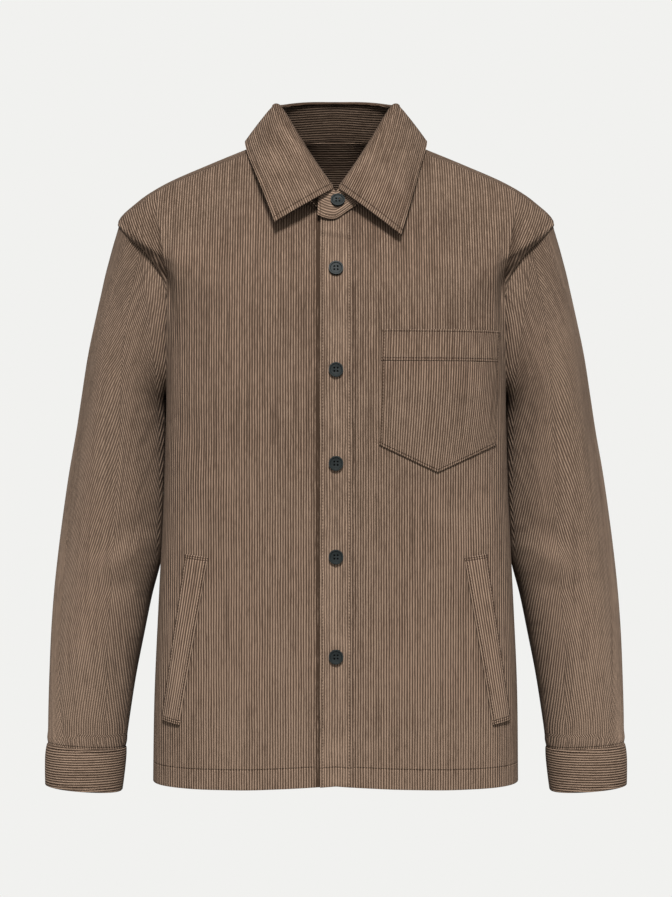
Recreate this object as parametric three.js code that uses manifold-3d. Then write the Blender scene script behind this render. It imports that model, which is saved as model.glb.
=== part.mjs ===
// Corduroy overshirt jacket, size M, in the hollow form it has when it is worn.
// Millimetres. +Z is up, -Y is the front and +X is the wearer's left.
// The origin is on the centre line, at the base of the neck, level with the shoulder seams at the neck.
// Every cloth piece is a closed shell: a grid of outer points, the same grid moved in by the cloth's
// thickness, and rims that join the two.
import * as THREE from 'three';
import Module from 'manifold-3d';

const wasm = await Module();
wasm.setup();

// ---------------------------------------------------------------- driving sizes

const CLOTH = 1.7; // one layer of corduroy
const DOUBLE_CLOTH = 2.8; // two layers sewn together: collar, cuffs
const SEAM_GAP = 0.36; // space between two pieces that are sewn edge to edge
const LAYER_GAP = 0.35; // space between a strip or button and what it lies on
const PATCH_GAP = 0.75; // space between a wide patch and the curved panel that it lies on, at the corners
const SLEEVE_CLEARANCE = 2.4; // air between the sleeve and the side of the body

const CLOSING_X = 17.5; // each front runs on past the centre line by this much
const PLACKET_CLOTH = 1.5;
const FRONT_LIFT = 0.7; // the upper front stands out by this much along the closing
const FRONT_SINK = -1.4; // and the lower front lies in by this much
const CLOSING_FLAT = 34; // both offsets are whole up to this distance from the centre line,
const CLOSING_FADE = 80; // and gone from this distance on

const BUTTON = { radius: 8, height: 3.2, rim: 1.3, well: 1.1, holeRadius: 0.95, holeReach: 1.75 };
const BUTTON_HEIGHTS = [-145, -255, -356, -457, -565]; // on the placket; one more is on the collar stand
const STAND_BUTTON_HEIGHT = -67;

const COLOURS = {
  body: 0x7a6758,
  sleeve: 0x766253,
  band: 0x85715f,
  collar: 0x857061,
  button: 0x2e3434,
};

// ---------------------------------------------------------------- the body's form

// Level rings of the body, from the hem to the neck seam. zFront, zSide and zBack are the ring's heights
// at the centre front, the side and the centre back. halfWidth is its reach to the side, yFront and yBack
// its reach to the front and back. squareness is 2 for an ellipse and more for a squarer ring. saddle
// is how sharply the ring drops from the side to the front: 2 is a smooth wave, 1 is a V. A ring may
// have a saddleBack of its own for its back half.
const RING_COLUMNS = ['zFront', 'zSide', 'zBack', 'halfWidth', 'yFront', 'yBack', 'squareness', 'saddle'];
const RINGS = [
  /* 0 hem            */ [-705.5, -712, -713, 206, -127, 124, 3.4, 2],
  /* 1 hip            */ [-610, -614, -614, 204.5, -129, 125, 3.5, 2],
  /* 2 waist          */ [-510, -513, -512, 200, -130, 124, 3.5, 2],
  /* 3 lower ribs     */ [-410, -412, -410, 195, -131, 125, 3.5, 2],
  /* 4 below the arm  */ [-333, -335, -330, 192.5, -131, 127, 3.5, 2],
  /* 5 armpit         */ [-283, -278, -268, 191.5, -130, 129, 3.5, 2],
  /* 6 chest          */ [-238, -215, -203, 193, -127, 129, 3.4, 2],
  /* 7 upper chest    */ [-203, -152, -146, 197.5, -123, 127, 3.2, 2],
  /* 8 top of the arm */ [-179, -114, -108, 222, -119, 122, 2.8, 2],
  /* 9 shoulder point */ [-161, -86, -74, 248, -115, 114, 2.4, 2],
  /* 10               */ [-146, -60, -52, 226, -110, 106, 2.3, 1.9],
  /* 11               */ [-133, -38.5, -34, 193, -105, 98, 2.2, 1.8],
  /* 12 mid shoulder  */ [-118, -18, -15, 147, -98, 86, 2.1, 1.6],
  /* 13               */ [-102, -1, 3, 106, -90, 72, 2.05, 1.6],
  /* 14 neck seam     */ [-85, 10, 18, 78, -80, 60, 2, 1.55],
];
const LEVEL = { hem: 0, armpit: 5, upperChest: 7, shoulderPoint: 9, neck: 14 };

// The armhole is cut through the rings between the armpit and the shoulder point. It is an oval in
// level and angle about its middle line, which leans forward to meet the shoulder seam at the top.
const ARMHOLE = {
  midLevel: 7, halfLevels: 2, bottomAngle: 90, topAngle: 80,
  frontReach: 15.4, backReach: 27, squareness: 2.5, steps: 10,
};
const HEM_DIP = 4.5;
const HEM_DIP_FADE = 1.4; // the level at which the hem's dip has faded out
const SHOULDER_SEAM_NECK_ANGLE = 71; // the yoke comes forward over the shoulder to this angle
const YOKE_STEP = 6; // the yoke seam crosses the back at this armhole step

// Grid lines
const BODY_LEVELS_BELOW_ARM = [0, 0.6, 1.3, 2, 2.7, 3.4, 4, 4.5, 5];
const SHOULDER_LEVELS = [9, 9.5, 10.2, 11, 12, 13, 14];
const FRONT_X_LINES = [17.5, 34, 57, 80];
const FRONT_SIDE_COLUMNS = 8;
const BACK_COLUMNS = 18;

const UP = new THREE.Vector3(0, 0, 1);
const lerp = THREE.MathUtils.lerp;
const clamp = THREE.MathUtils.clamp;
const smooth = THREE.MathUtils.smoothstep;
const radians = THREE.MathUtils.degToRad;
const degrees = THREE.MathUtils.radToDeg;
const signedPower = (value, power) => Math.sign(value) * Math.abs(value) ** power;
const point = (x, y, z) => new THREE.Vector3(x, y, z);
const moved = (from, direction, distance) => from.clone().addScaledVector(direction, distance);

// A smooth curve through the values of one column of a table, at a row number that may be a fraction.
function columnAt(rows, column, row) {
  const last = rows.length - 1;
  const low = clamp(Math.floor(row), 0, last - 1);
  const [before, from, to, after] = [low - 1, low, low + 1, low + 2]
    .map((index) => rows[clamp(index, 0, last)][column]);
  const t = row - low;
  const slopeFrom = (to - before) / 2;
  const slopeTo = (after - from) / 2;
  const bend = 3 * (to - from) - 2 * slopeFrom - slopeTo;
  const twist = slopeFrom + slopeTo - 2 * (to - from);
  return from + t * (slopeFrom + t * (bend + t * twist));
}

function ringAt(level) {
  const values = RING_COLUMNS.map((_, column) => columnAt(RINGS, column, level));
  return Object.fromEntries(RING_COLUMNS.map((name, column) => [name, values[column]]));
}

// A point of a ring at an angle in degrees: 0 is the centre front, 90 the wearer's left side.
function ringPoint(ring, angle) {
  const sine = Math.sin(radians(angle));
  const cosine = Math.cos(radians(angle));
  const power = 2 / ring.squareness;
  const reach = cosine > 0 ? ring.yFront : ring.yBack;
  const zEnd = cosine > 0 ? ring.zFront : ring.zBack;
  const saddle = cosine > 0 ? ring.saddle : ring.saddleBack ?? ring.saddle;
  const drop = 1 - Math.abs(sine) ** saddle;
  return point(
    ring.halfWidth * signedPower(sine, power),
    reach * Math.abs(cosine) ** power,
    lerp(ring.zSide, zEnd, drop),
  );
}

// A point of the body. The hem hangs lowest between the centre and the sides.
function bodyPoint(level, angle) {
  const ring = ringAt(level);
  const place = ringPoint(ring, angle);
  const share = Math.min(Math.abs(place.x) / ring.halfWidth, 1);
  place.z -= HEM_DIP * 4 * share * (1 - share) * (1 - smooth(level, LEVEL.hem, HEM_DIP_FADE));
  return place;
}

// The direction straight out of the body's surface.
function bodyNormal(level, angle) {
  const step = 0.8;
  const low = Math.max(level - 0.03, LEVEL.hem);
  const high = Math.min(level + 0.03, LEVEL.neck);
  const along = bodyPoint(level, angle + step).sub(bodyPoint(level, angle - step));
  const upwards = bodyPoint(high, angle).sub(bodyPoint(low, angle));
  return along.cross(upwards).normalize();
}

// The angle at which a ring's front passes a distance x from the centre line.
function angleAtX(level, x) {
  const ring = ringAt(level);
  return degrees(Math.asin(clamp(signedPower(x / ring.halfWidth, ring.squareness / 2), -1, 1)));
}

// The place on the front of the body at a distance x from the centre line and a height z.
function frontPlace(x, z) {
  let low = LEVEL.hem;
  let high = LEVEL.neck;
  for (let round = 0; round < 40; round += 1) {
    const level = (low + high) / 2;
    if (bodyPoint(level, angleAtX(level, x)).z < z) low = level;
    else high = level;
  }
  return { level: low, angle: angleAtX(low, x) };
}

// How far a point of the front stands off the body's form, near the closing.
function closingOffset(x, side) {
  const strength = 1 - smooth(Math.abs(x), CLOSING_FLAT, CLOSING_FADE);
  return strength * (side > 0 ? FRONT_LIFT : FRONT_SINK);
}

// ---------------------------------------------------------------- shells

// A grid is a list of rows of { outer, normal }. The inner point lies one thickness behind the outer one.
function shell(grid, thickness, isTube = false) {
  const rows = grid.length;
  const columns = grid[0].length;
  const places = [];
  for (const row of grid) for (const cell of row) places.push(cell.outer);
  for (const row of grid) {
    for (const cell of row) places.push(moved(cell.outer, cell.normal, -(cell.thickness ?? thickness)));
  }
  const outer = (row, column) => row * columns + (column % columns);
  const inner = (row, column) => rows * columns + outer(row, column);
  const triangles = [];
  const quad = (a, b, c, d) => triangles.push(a, b, c, a, c, d);
  const spans = isTube ? columns : columns - 1;
  for (let row = 0; row < rows - 1; row += 1) {
    for (let column = 0; column < spans; column += 1) {
      quad(outer(row, column), outer(row, column + 1), outer(row + 1, column + 1), outer(row + 1, column));
      quad(inner(row, column), inner(row + 1, column), inner(row + 1, column + 1), inner(row, column + 1));
    }
  }
  for (let column = 0; column < spans; column += 1) {
    quad(outer(0, column), inner(0, column), inner(0, column + 1), outer(0, column + 1));
    const end = rows - 1;
    quad(outer(end, column), outer(end, column + 1), inner(end, column + 1), inner(end, column));
  }
  if (!isTube) {
    const end = columns - 1;
    for (let row = 0; row < rows - 1; row += 1) {
      quad(outer(row, 0), outer(row + 1, 0), inner(row + 1, 0), inner(row, 0));
      quad(outer(row, end), inner(row, end), inner(row + 1, end), outer(row + 1, end));
    }
  }
  return outwardGeometry(places, triangles);
}

// Turns the triangles round if together they enclose a negative volume.
function outwardGeometry(places, triangles) {
  let volume = 0;
  for (let index = 0; index < triangles.length; index += 3) {
    const [a, b, c] = [0, 1, 2].map((corner) => places[triangles[index + corner]]);
    volume += a.dot(b.clone().cross(c));
  }
  const order = volume > 0 ? triangles : triangles.slice().reverse();
  const geometry = new THREE.BufferGeometry();
  geometry.setAttribute('position', new THREE.Float32BufferAttribute(places.flatMap((p) => p.toArray()), 3));
  geometry.setIndex(order);
  geometry.computeVertexNormals();
  return geometry;
}

// Draws a grid's edges in, each towards the next line of the grid, to leave the seam's space.
function trim(grid, { first = 0, last = 0, left = 0, right = 0 }) {
  const rows = grid.length;
  const columns = grid[0].length;
  const pull = (cell, neighbour, distance) => {
    const direction = neighbour.outer.clone().sub(cell.outer).normalize();
    cell.outer = moved(cell.outer, direction, distance);
  };
  for (let column = 0; column < columns; column += 1) {
    if (first) pull(grid[0][column], grid[1][column], first);
    if (last) pull(grid[rows - 1][column], grid[rows - 2][column], last);
  }
  for (const row of grid) {
    if (left) pull(row[0], row[1], left);
    if (right) pull(row[columns - 1], row[columns - 2], right);
  }
  return grid;
}

function piece(name, geometry, colour, roughness = 0.95) {
  const material = new THREE.MeshStandardMaterial({ color: colour, roughness, metalness: 0 });
  const mesh = new THREE.Mesh(geometry, material);
  mesh.name = name;
  return mesh;
}

// ---------------------------------------------------------------- armhole

// The armhole's step 0 is at the armpit and its last step at the shoulder point.
function armholeStep(step) {
  const turn = Math.PI * step / ARMHOLE.steps;
  const power = 2 / ARMHOLE.squareness;
  const level = ARMHOLE.midLevel - ARMHOLE.halfLevels * signedPower(Math.cos(turn), power);
  const middle = lerp(ARMHOLE.bottomAngle, ARMHOLE.topAngle, (level - LEVEL.armpit) / 4);
  const width = Math.abs(Math.sin(turn)) ** power;
  return {
    level,
    frontAngle: middle - ARMHOLE.frontReach * width,
    backAngle: middle + ARMHOLE.backReach * width,
  };
}

const ARMHOLE_STEPS = Array.from({ length: ARMHOLE.steps + 1 }, (_, step) => armholeStep(step));

function shoulderSeamAngle(level) {
  const along = (level - LEVEL.shoulderPoint) / (LEVEL.neck - LEVEL.shoulderPoint);
  return lerp(ARMHOLE.topAngle, SHOULDER_SEAM_NECK_ANGLE, along);
}

// ---------------------------------------------------------------- body panels

// The angles of a front panel's grid lines on one ring, from the closing to its outer edge. Near the
// neck the ring is too short for the fixed lines, so those past the closing are shared out.
function frontAngles(level, edgeAngle) {
  const fixed = level < 12.4 ? [-CLOSING_X, 0, ...FRONT_X_LINES] : [-CLOSING_X, 0, CLOSING_X];
  const angles = fixed.map((x) => angleAtX(level, x));
  const start = angles[angles.length - 1];
  const others = FRONT_X_LINES.length + FRONT_SIDE_COLUMNS + 2 - fixed.length;
  for (let line = 1; line <= others; line += 1) angles.push(lerp(start, edgeAngle, line / others));
  return angles;
}

// Both fronts' lines run towards the wearer's left, so that their facets match where they overlap.
function frontRow(level, edgeAngle, side) {
  const angles = frontAngles(level, edgeAngle).map((angle) => angle * side);
  if (side < 0) angles.reverse();
  return angles.map((angle) => {
    const place = bodyPoint(level, angle);
    const normal = bodyNormal(level, angle);
    return { outer: moved(place, normal, closingOffset(place.x, side)), normal };
  });
}

function frontPanel(side) {
  const rows = [
    ...BODY_LEVELS_BELOW_ARM.slice(0, -1).map((level) => frontRow(level, 90, side)),
    ...ARMHOLE_STEPS.slice(0, -1).map(({ level, frontAngle }) => frontRow(level, frontAngle, side)),
    ...SHOULDER_LEVELS.map((level) => frontRow(level, shoulderSeamAngle(level), side)),
  ];
  return shell(trim(rows, { [side > 0 ? 'right' : 'left']: SEAM_GAP / 2 }), CLOTH);
}

function bodyRow(level, fromAngle, toAngle, columns) {
  return Array.from({ length: columns + 1 }, (_, column) => {
    const angle = lerp(fromAngle, toAngle, column / columns);
    return { outer: bodyPoint(level, angle), normal: bodyNormal(level, angle) };
  });
}

function backPanel() {
  const rows = [
    ...BODY_LEVELS_BELOW_ARM.slice(0, -1).map((level) => bodyRow(level, 90, 270, BACK_COLUMNS)),
    ...ARMHOLE_STEPS.slice(0, YOKE_STEP + 1)
      .map(({ level, backAngle }) => bodyRow(level, backAngle, 360 - backAngle, BACK_COLUMNS)),
  ];
  return shell(trim(rows, { last: SEAM_GAP / 2, left: SEAM_GAP / 2, right: SEAM_GAP / 2 }), CLOTH);
}

function yokePanel() {
  const rows = [
    ...ARMHOLE_STEPS.slice(YOKE_STEP, -1)
      .map(({ level, backAngle }) => bodyRow(level, backAngle, 360 - backAngle, BACK_COLUMNS)),
    ...SHOULDER_LEVELS.map((level) => {
      const angle = shoulderSeamAngle(level);
      return bodyRow(level, angle, 360 - angle, BACK_COLUMNS);
    }),
  ];
  return shell(trim(rows, { first: SEAM_GAP / 2, left: SEAM_GAP / 2, right: SEAM_GAP / 2 }), CLOTH);
}

// ---------------------------------------------------------------- sleeves

// Rings of the sleeve from the armhole to the cuff seam. Each lies in a plane that turns about the
// armpit, then comes level. xIn, zIn and xOut, zOut are its inner and outer ends in the front view,
// yMiddle and halfDepth its place and reach from front to back.
const SLEEVE_COLUMNS = ['xIn', 'zIn', 'xOut', 'zOut', 'yMiddle', 'halfDepth', 'squareness'];
const SLEEVE_RINGS = [
  /* 0 armhole      */ [191.5, -278, 248, -87, 4, 66, 2.4],
  /* 1              */ [192, -281, 256, -117, 5, 70, 2.3],
  /* 2              */ [192, -285, 266, -154, 7, 73, 2.2],
  /* 3              */ [192, -290, 275, -196, 9, 75, 2.2],
  /* 4              */ [192, -296, 283, -236, 11, 76, 2.2],
  /* 5              */ [192, -305, 290, -279, 13, 76, 2.2],
  /* 6 upper arm    */ [192, -330, 297, -322, 15, 75, 2.2],
  /* 7              */ [193, -372, 305, -366, 16, 72, 2.2],
  /* 8              */ [195, -418, 312, -412, 17, 69, 2.2],
  /* 9 elbow        */ [200, -464, 318, -458, 17, 66, 2.2],
  /* 10             */ [211, -508, 322.5, -502, 15, 62, 2.2],
  /* 11             */ [220, -553, 325.5, -547, 12, 58, 2.2],
  /* 12 forearm     */ [228.5, -598, 327, -592, 8, 53, 2.2],
  /* 13             */ [235.5, -645, 328, -640, 4, 47, 2.2],
  /* 14 cuff seam   */ [240, -680, 328, -675, 1, 40, 2.2],
];
const SLEEVE_LINES = [0, 0.5, 1, 1.6, 2.3, 3, 4, 5, 6, 7, 8, 9, 10, 11, 12, 13, 14];
const CUFF_RINGS = [
  /* 0 seam     */ [239.6, -680, 328.6, -675, 1, 40.4, 2.2],
  /* 1          */ [241, -696, 330, -690, 1, 40.4, 2.2],
  /* 2 free end */ [244.5, -729, 330.5, -722, 1, 39, 2.2],
];
const CUFF_LINES = [0, 0.5, 1, 2];

// A point of a sleeve ring. The turn is 0 at the armpit, 180 at the outer side, and passes the front first.
function sleeveRingPoint(rows, row, turn) {
  const [xIn, zIn, xOut, zOut, yMiddle, halfDepth, squareness] = SLEEVE_COLUMNS
    .map((_, column) => columnAt(rows, column, row));
  const power = 2 / squareness;
  const across = (1 - signedPower(Math.cos(radians(turn)), power)) / 2;
  const depth = signedPower(Math.sin(radians(turn)), power);
  return point(lerp(xIn, xOut, across), yMiddle - halfDepth * depth, lerp(zIn, zOut, across));
}

// The body's reach to the side at a depth y and height z, up to the upper chest.
function bodyReachAt(y, z) {
  let low = LEVEL.hem;
  let high = LEVEL.upperChest;
  for (let round = 0; round < 30; round += 1) {
    const level = (low + high) / 2;
    if (ringAt(level).zSide < z) low = level;
    else high = level;
  }
  const ring = ringAt(low);
  const share = clamp(Math.abs(y / (y < 0 ? ring.yFront : ring.yBack)), 0, 1);
  return ring.halfWidth * (1 - share ** ring.squareness) ** (1 / ring.squareness);
}

// The armhole's edge at a sleeve's turn, with the body's normal and the direction into the opening.
function armholeEdge(turn) {
  const isFront = turn <= 180;
  const at = (value) => {
    const step = armholeStep(ARMHOLE.steps * clamp(isFront ? value : 360 - value, 0, 180) / 180);
    return { level: step.level, angle: isFront ? step.frontAngle : step.backAngle };
  };
  const here = at(turn);
  const low = at(isFront ? Math.max(turn - 2, 0) : Math.min(turn + 2, 360));
  const high = at(isFront ? Math.min(turn + 2, 180) : Math.max(turn - 2, 180));
  const edge = bodyPoint(here.level, here.angle);
  const normal = bodyNormal(here.level, here.angle);
  const along = bodyPoint(high.level, high.angle).sub(bodyPoint(low.level, low.angle)).normalize();
  const inwards = along.cross(normal).multiplyScalar(isFront ? 1 : -1).normalize();
  return { edge, normal, inwards };
}

function sleeveSurface(row, turn) {
  const form = sleeveRingPoint(SLEEVE_RINGS, row, turn);
  const armholeShare = (1 - smooth(row, 0, 5)) ** 1.5;
  const { edge } = armholeEdge(turn);
  const start = sleeveRingPoint(SLEEVE_RINGS, 0, turn);
  form.addScaledVector(edge.sub(start), armholeShare);
  const isBesideBody = form.z < ringAt(LEVEL.upperChest).zSide;
  if (isBesideBody) {
    const clearance = SLEEVE_CLEARANCE * smooth(row, 0, 1);
    form.x = Math.max(form.x, bodyReachAt(form.y, form.z) + clearance);
  }
  return form;
}

function sleeveNormal(row, turn) {
  const low = Math.max(row - 0.25, 0);
  const high = Math.min(row + 0.25, SLEEVE_RINGS.length - 1);
  const around = sleeveSurface(row, turn + 4).sub(sleeveSurface(row, turn - 4));
  const down = sleeveSurface(high, turn).sub(sleeveSurface(low, turn));
  return down.cross(around).normalize();
}

function sleeveCell(row, turn) {
  const outer = sleeveSurface(row, turn);
  const normal = sleeveNormal(row, turn);
  if (row > 0) return { outer, normal };
  // The first ring stands off the armhole's edge, and its wall keeps out of the body's wall.
  const { normal: bodySide, inwards } = armholeEdge(turn);
  const fold = clamp(-normal.dot(inwards), 0, 1);
  const spread = Math.max(normal.dot(inwards), 0);
  const mitred = moved(normal, inwards, -spread).normalize();
  return { outer: moved(moved(outer, inwards, SEAM_GAP), bodySide, fold), normal: mitred };
}

const SLEEVE_TURNS = Array.from({ length: 2 * ARMHOLE.steps }, (_, index) => index * 180 / ARMHOLE.steps);

function sleeveGrid() {
  return SLEEVE_LINES.map((row) => SLEEVE_TURNS.map((turn) => sleeveCell(row, turn)));
}

function cuffGrid() {
  return CUFF_LINES.map((row) => SLEEVE_TURNS.map((turn) => {
    const outer = sleeveRingPoint(CUFF_RINGS, row, turn);
    const middle = sleeveRingPoint(CUFF_RINGS, row, 90).add(sleeveRingPoint(CUFF_RINGS, row, 270));
    const normal = outer.clone().sub(middle.multiplyScalar(0.5)).setZ(0).normalize();
    return { outer: moved(outer, UP, -SEAM_GAP), normal };
  }));
}

// The other arm is the same grid with x turned about the centre line.
function mirrored(grid) {
  const flip = (p) => point(-p.x, p.y, p.z);
  return grid.map((row) => row.map((cell) => ({ outer: flip(cell.outer), normal: flip(cell.normal) })));
}

const onSide = (grid, side) => (side > 0 ? grid : mirrored(grid));

// ---------------------------------------------------------------- collar

const STAND_TOP = {
  zFront: -54, zSide: 52, zBack: 63, halfWidth: 69, yFront: -73, yBack: 58,
  squareness: 2, saddle: 1.05, saddleBack: 3,
};
const STAND_END_X = -20; // of the upper end
const STAND_FOOT_GAP = 0.8; // over the curved neck seam, so that it is about a seam's gap square to it
const STAND_BUTTON_X = 2;
const STAND_BUTTON_STANDOFF = 1.3; // its thread shank, over the bend of the stand
const STAND_OFFSET = { upper: 2.2, around: 0.6, lower: -1.1 }; // of its outer side, from the neck seam
const STAND_COLUMNS = 35; // between its two closing lines

// The stand's angle runs from its upper end, past the wearer's left, the back and the right, to its
// lower end beneath the upper one.
function standOffset(angle) {
  const upper = 1 - smooth(angle, 14, 60);
  const lower = smooth(angle, 300, 346);
  return STAND_OFFSET.around
    + upper * (STAND_OFFSET.upper - STAND_OFFSET.around)
    + lower * (STAND_OFFSET.lower - STAND_OFFSET.around);
}

function standPoint(angle, height) {
  const foot = bodyPoint(LEVEL.neck, angle);
  const top = ringPoint(STAND_TOP, angle);
  return foot.lerp(top, height);
}

function standNormal(angle, height) {
  const along = standPoint(angle + 2, height).sub(standPoint(angle - 2, height));
  const upwards = standPoint(angle, 1).sub(standPoint(angle, 0));
  return along.cross(upwards).normalize();
}

// The stand's lines near the closing are those of the fronts beneath it.
function standAngles() {
  const closing = angleAtX(LEVEL.neck, CLOSING_X);
  const around = Array.from({ length: STAND_COLUMNS + 1 }, (_, column) => (
    lerp(closing, 360 - closing, column / STAND_COLUMNS)));
  return [angleAtX(LEVEL.neck, STAND_END_X), -closing, 0, ...around, 360, 360 + closing];
}

function standGrid() {
  return [0, 0.25, 0.75, 1].map((height) => standAngles().map((angle, column) => {
    const isUpperEnd = column === 0;
    const rounded = isUpperEnd && (height === 0 || height === 1) ? angle + 1.2 : angle;
    const normal = standNormal(rounded, height);
    const offset = standOffset(angle);
    const place = moved(standPoint(rounded, height), normal, offset);
    return { outer: moved(place, UP, STAND_FOOT_GAP * (1 - height)), normal };
  }));
}

// The collar leaf's free edge, from its point to the centre back. The two points differ a little.
const LEAF_EDGE_COLUMNS = ['x', 'y', 'z'];
const LEAF_EDGE = [
  /* point         */ [69, -106, -99],
  /* front         */ [88, -76, -42],
  /* shoulder      */ [103, -18, 5],
  /* behind        */ [97, 34, 12],
  /* back          */ [62, 70, 13],
  /* centre back   */ [0, 84, 12],
];
const LEAF_POINT_SHIFT = { x: 2, z: -7 }; // of each point, down and out on the wearer's left
const LEAF_COLUMNS = 36;
const LEAF_LINES = [0, 0.06, 0.14, 0.4, 0.7, 1];
const LEAF_END_X = 3;
const LEAF_ROLL = 2.5; // how far the leaf rounds out below its fold
const LEAF_BULGE = 5; // out of a straight line from its fold to its edge, less over the shoulder
const LEAF_SHOULDER = { place: 0.42, width: 0.22, bulge: 0.15 };

// One point of the leaf. The share is 0 at the wearer's left end, 0.5 at the back and 1 at the right end,
// and across is 0 at the fold and 1 at the free edge.
function leafPoint(share, across) {
  const isLeft = share <= 0.5;
  const toBack = isLeft ? 2 * share : 2 * (1 - share);
  const side = isLeft ? 1 : -1;
  const startAngle = degrees(Math.asin(LEAF_END_X / STAND_TOP.halfWidth));
  const angle = lerp(startAngle, 180, toBack);
  const top = ringPoint(STAND_TOP, angle);
  const away = point(Math.sin(radians(angle)), -Math.cos(radians(angle)), 0);
  const fold = moved(moved(top, UP, 1.2), away, standOffset(angle) + LAYER_GAP + DOUBLE_CLOTH + 0.4);
  const row = toBack * (LEAF_EDGE.length - 1);
  const [x, y, z] = LEAF_EDGE_COLUMNS.map((_, column) => columnAt(LEAF_EDGE, column, row));
  const nearPoint = side * (1 - smooth(toBack, 0, 0.35));
  const edge = point(x + LEAF_POINT_SHIFT.x * nearPoint, y, z + LEAF_POINT_SHIFT.z * nearPoint);
  const place = fold.clone().lerp(edge, across);
  const roll = LEAF_ROLL * smooth(across, 0, 0.12) * (1 - across) ** 0.6;
  const nearShoulder = Math.exp(-(((toBack - LEAF_SHOULDER.place) / LEAF_SHOULDER.width) ** 2));
  const bulge = LEAF_BULGE * 4 * across * (1 - across) * lerp(1, LEAF_SHOULDER.bulge, nearShoulder);
  place.addScaledVector(away, roll + bulge);
  place.x *= side;
  return place;
}

function leafGrid() {
  return LEAF_LINES.map((across) => Array.from({ length: LEAF_COLUMNS + 1 }, (_, column) => {
    const share = column / LEAF_COLUMNS;
    const before = leafPoint(clamp(share - 0.01, 0, 1), across);
    const after = leafPoint(clamp(share + 0.01, 0, 1), across);
    const above = leafPoint(share, Math.max(across - 0.03, 0));
    const below = leafPoint(share, Math.min(across + 0.03, 1));
    const angle = radians(360 * share);
    const away = point(Math.sin(angle), -Math.cos(angle), 0);
    const normal = after.sub(before).cross(above.sub(below)).normalize();
    const turned = away.lerp(normal, smooth(across, 0, 0.35)).normalize();
    return { outer: leafPoint(share, across), normal: turned };
  }));
}

// ---------------------------------------------------------------- pieces on the panels

// A patch lies on a front panel. Its corners are given in the front view, x from the centre line.
function patchCell(x, z, side, cloth) {
  const { level, angle } = frontPlace(Math.abs(x), z);
  const place = bodyPoint(level, angle * side);
  const normal = bodyNormal(level, angle * side);
  const lift = closingOffset(x, side) + PATCH_GAP + cloth;
  return { outer: moved(place, normal, lift), normal };
}

function patchGrid(rows, side, cloth) {
  return rows.map((row) => row.map(([x, z]) => patchCell(x, z, side, cloth)));
}

const shares = (count) => Array.from({ length: count + 1 }, (_, index) => index / count);

const POCKET_COLUMNS = 14;
const POCKET = {
  xIn: 50, xOut: 178, zTop: -211, lean: -3.4, bandHeight: 34, zSideEnd: -336, zTip: -366, tipAt: 0.5,
  bandCloth: 2.2,
};

function pocketX(across, z) {
  const down = (POCKET.zTop - z) / (POCKET.zTop - POCKET.zSideEnd);
  return lerp(POCKET.xIn, POCKET.xOut, across) + POCKET.lean * down;
}

function pocketBand() {
  const zEnd = POCKET.zTop - POCKET.bandHeight;
  const rows = shares(2).map((down) => shares(POCKET_COLUMNS).map((across) => {
    const z = lerp(POCKET.zTop, zEnd, down);
    return [pocketX(across, z), z];
  }));
  return shell(patchGrid(rows, 1, POCKET.bandCloth), POCKET.bandCloth);
}

function pocketBody() {
  const zStart = POCKET.zTop - POCKET.bandHeight - SEAM_GAP;
  const rows = shares(5).map((down) => shares(POCKET_COLUMNS).map((across) => {
    const toTip = 1 - Math.abs(across - POCKET.tipAt) / POCKET.tipAt;
    const z = lerp(zStart, lerp(POCKET.zSideEnd, POCKET.zTip, toTip), down);
    return [pocketX(across, z), z];
  }));
  return shell(patchGrid(rows, 1, CLOTH), CLOTH);
}

// The hand pockets' welts slant out to the side seams on the way down.
const WELT = {
  top: { xIn: 138.5, zIn: -458, xOut: 163.5, zOut: -455 },
  bottom: { xIn: 170.5, zIn: -642, xOut: 190.5, zOut: -638.5 },
  cloth: 2.2,
};

function welt(side) {
  const { top, bottom } = WELT;
  const rows = shares(6).map((down) => shares(3).map((across) => {
    const x = lerp(lerp(top.xIn, bottom.xIn, down), lerp(top.xOut, bottom.xOut, down), across);
    const z = lerp(lerp(top.zIn, bottom.zIn, down), lerp(top.zOut, bottom.zOut, down), across);
    return [x * side, z];
  }));
  return shell(patchGrid(rows, side, WELT.cloth), WELT.cloth);
}

// The placket is a folded strip on the free edge of the wearer's left front, from hem to neck seam.
const PLACKET_LEVELS = [
  ...BODY_LEVELS_BELOW_ARM.slice(0, -1),
  ...ARMHOLE_STEPS.slice(0, -1).map(({ level }) => level),
  ...SHOULDER_LEVELS,
];

function placket() {
  const rows = PLACKET_LEVELS.map((level) => [-CLOSING_X, 0, CLOSING_X].map((x) => {
    const angle = angleAtX(level, x);
    const normal = bodyNormal(level, angle);
    const lift = FRONT_LIFT + LAYER_GAP + PLACKET_CLOTH;
    return { outer: moved(bodyPoint(level, angle), normal, lift), normal };
  }));
  return shell(trim(rows, { last: 1.5 * SEAM_GAP }), PLACKET_CLOTH);
}

// ---------------------------------------------------------------- buttons

function solidOf(geometry) {
  const places = geometry.attributes.position.array;
  const keys = new Map();
  const vertices = [];
  const order = [];
  for (const vertex of geometry.index.array) {
    const coordinates = [0, 1, 2].map((axis) => Math.round(places[3 * vertex + axis] * 1e4) / 1e4 + 0);
    const key = coordinates.join();
    if (!keys.has(key)) {
      keys.set(key, vertices.length / 3);
      vertices.push(...coordinates);
    }
    order.push(keys.get(key));
  }
  const triangles = [];
  for (let index = 0; index < order.length; index += 3) {
    const [a, b, c] = order.slice(index, index + 3);
    if (a !== b && b !== c && c !== a) triangles.push(a, b, c);
  }
  return new wasm.Manifold(new wasm.Mesh({
    numProp: 3,
    vertProperties: new Float32Array(vertices),
    triVerts: new Uint32Array(triangles),
  }));
}

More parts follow.
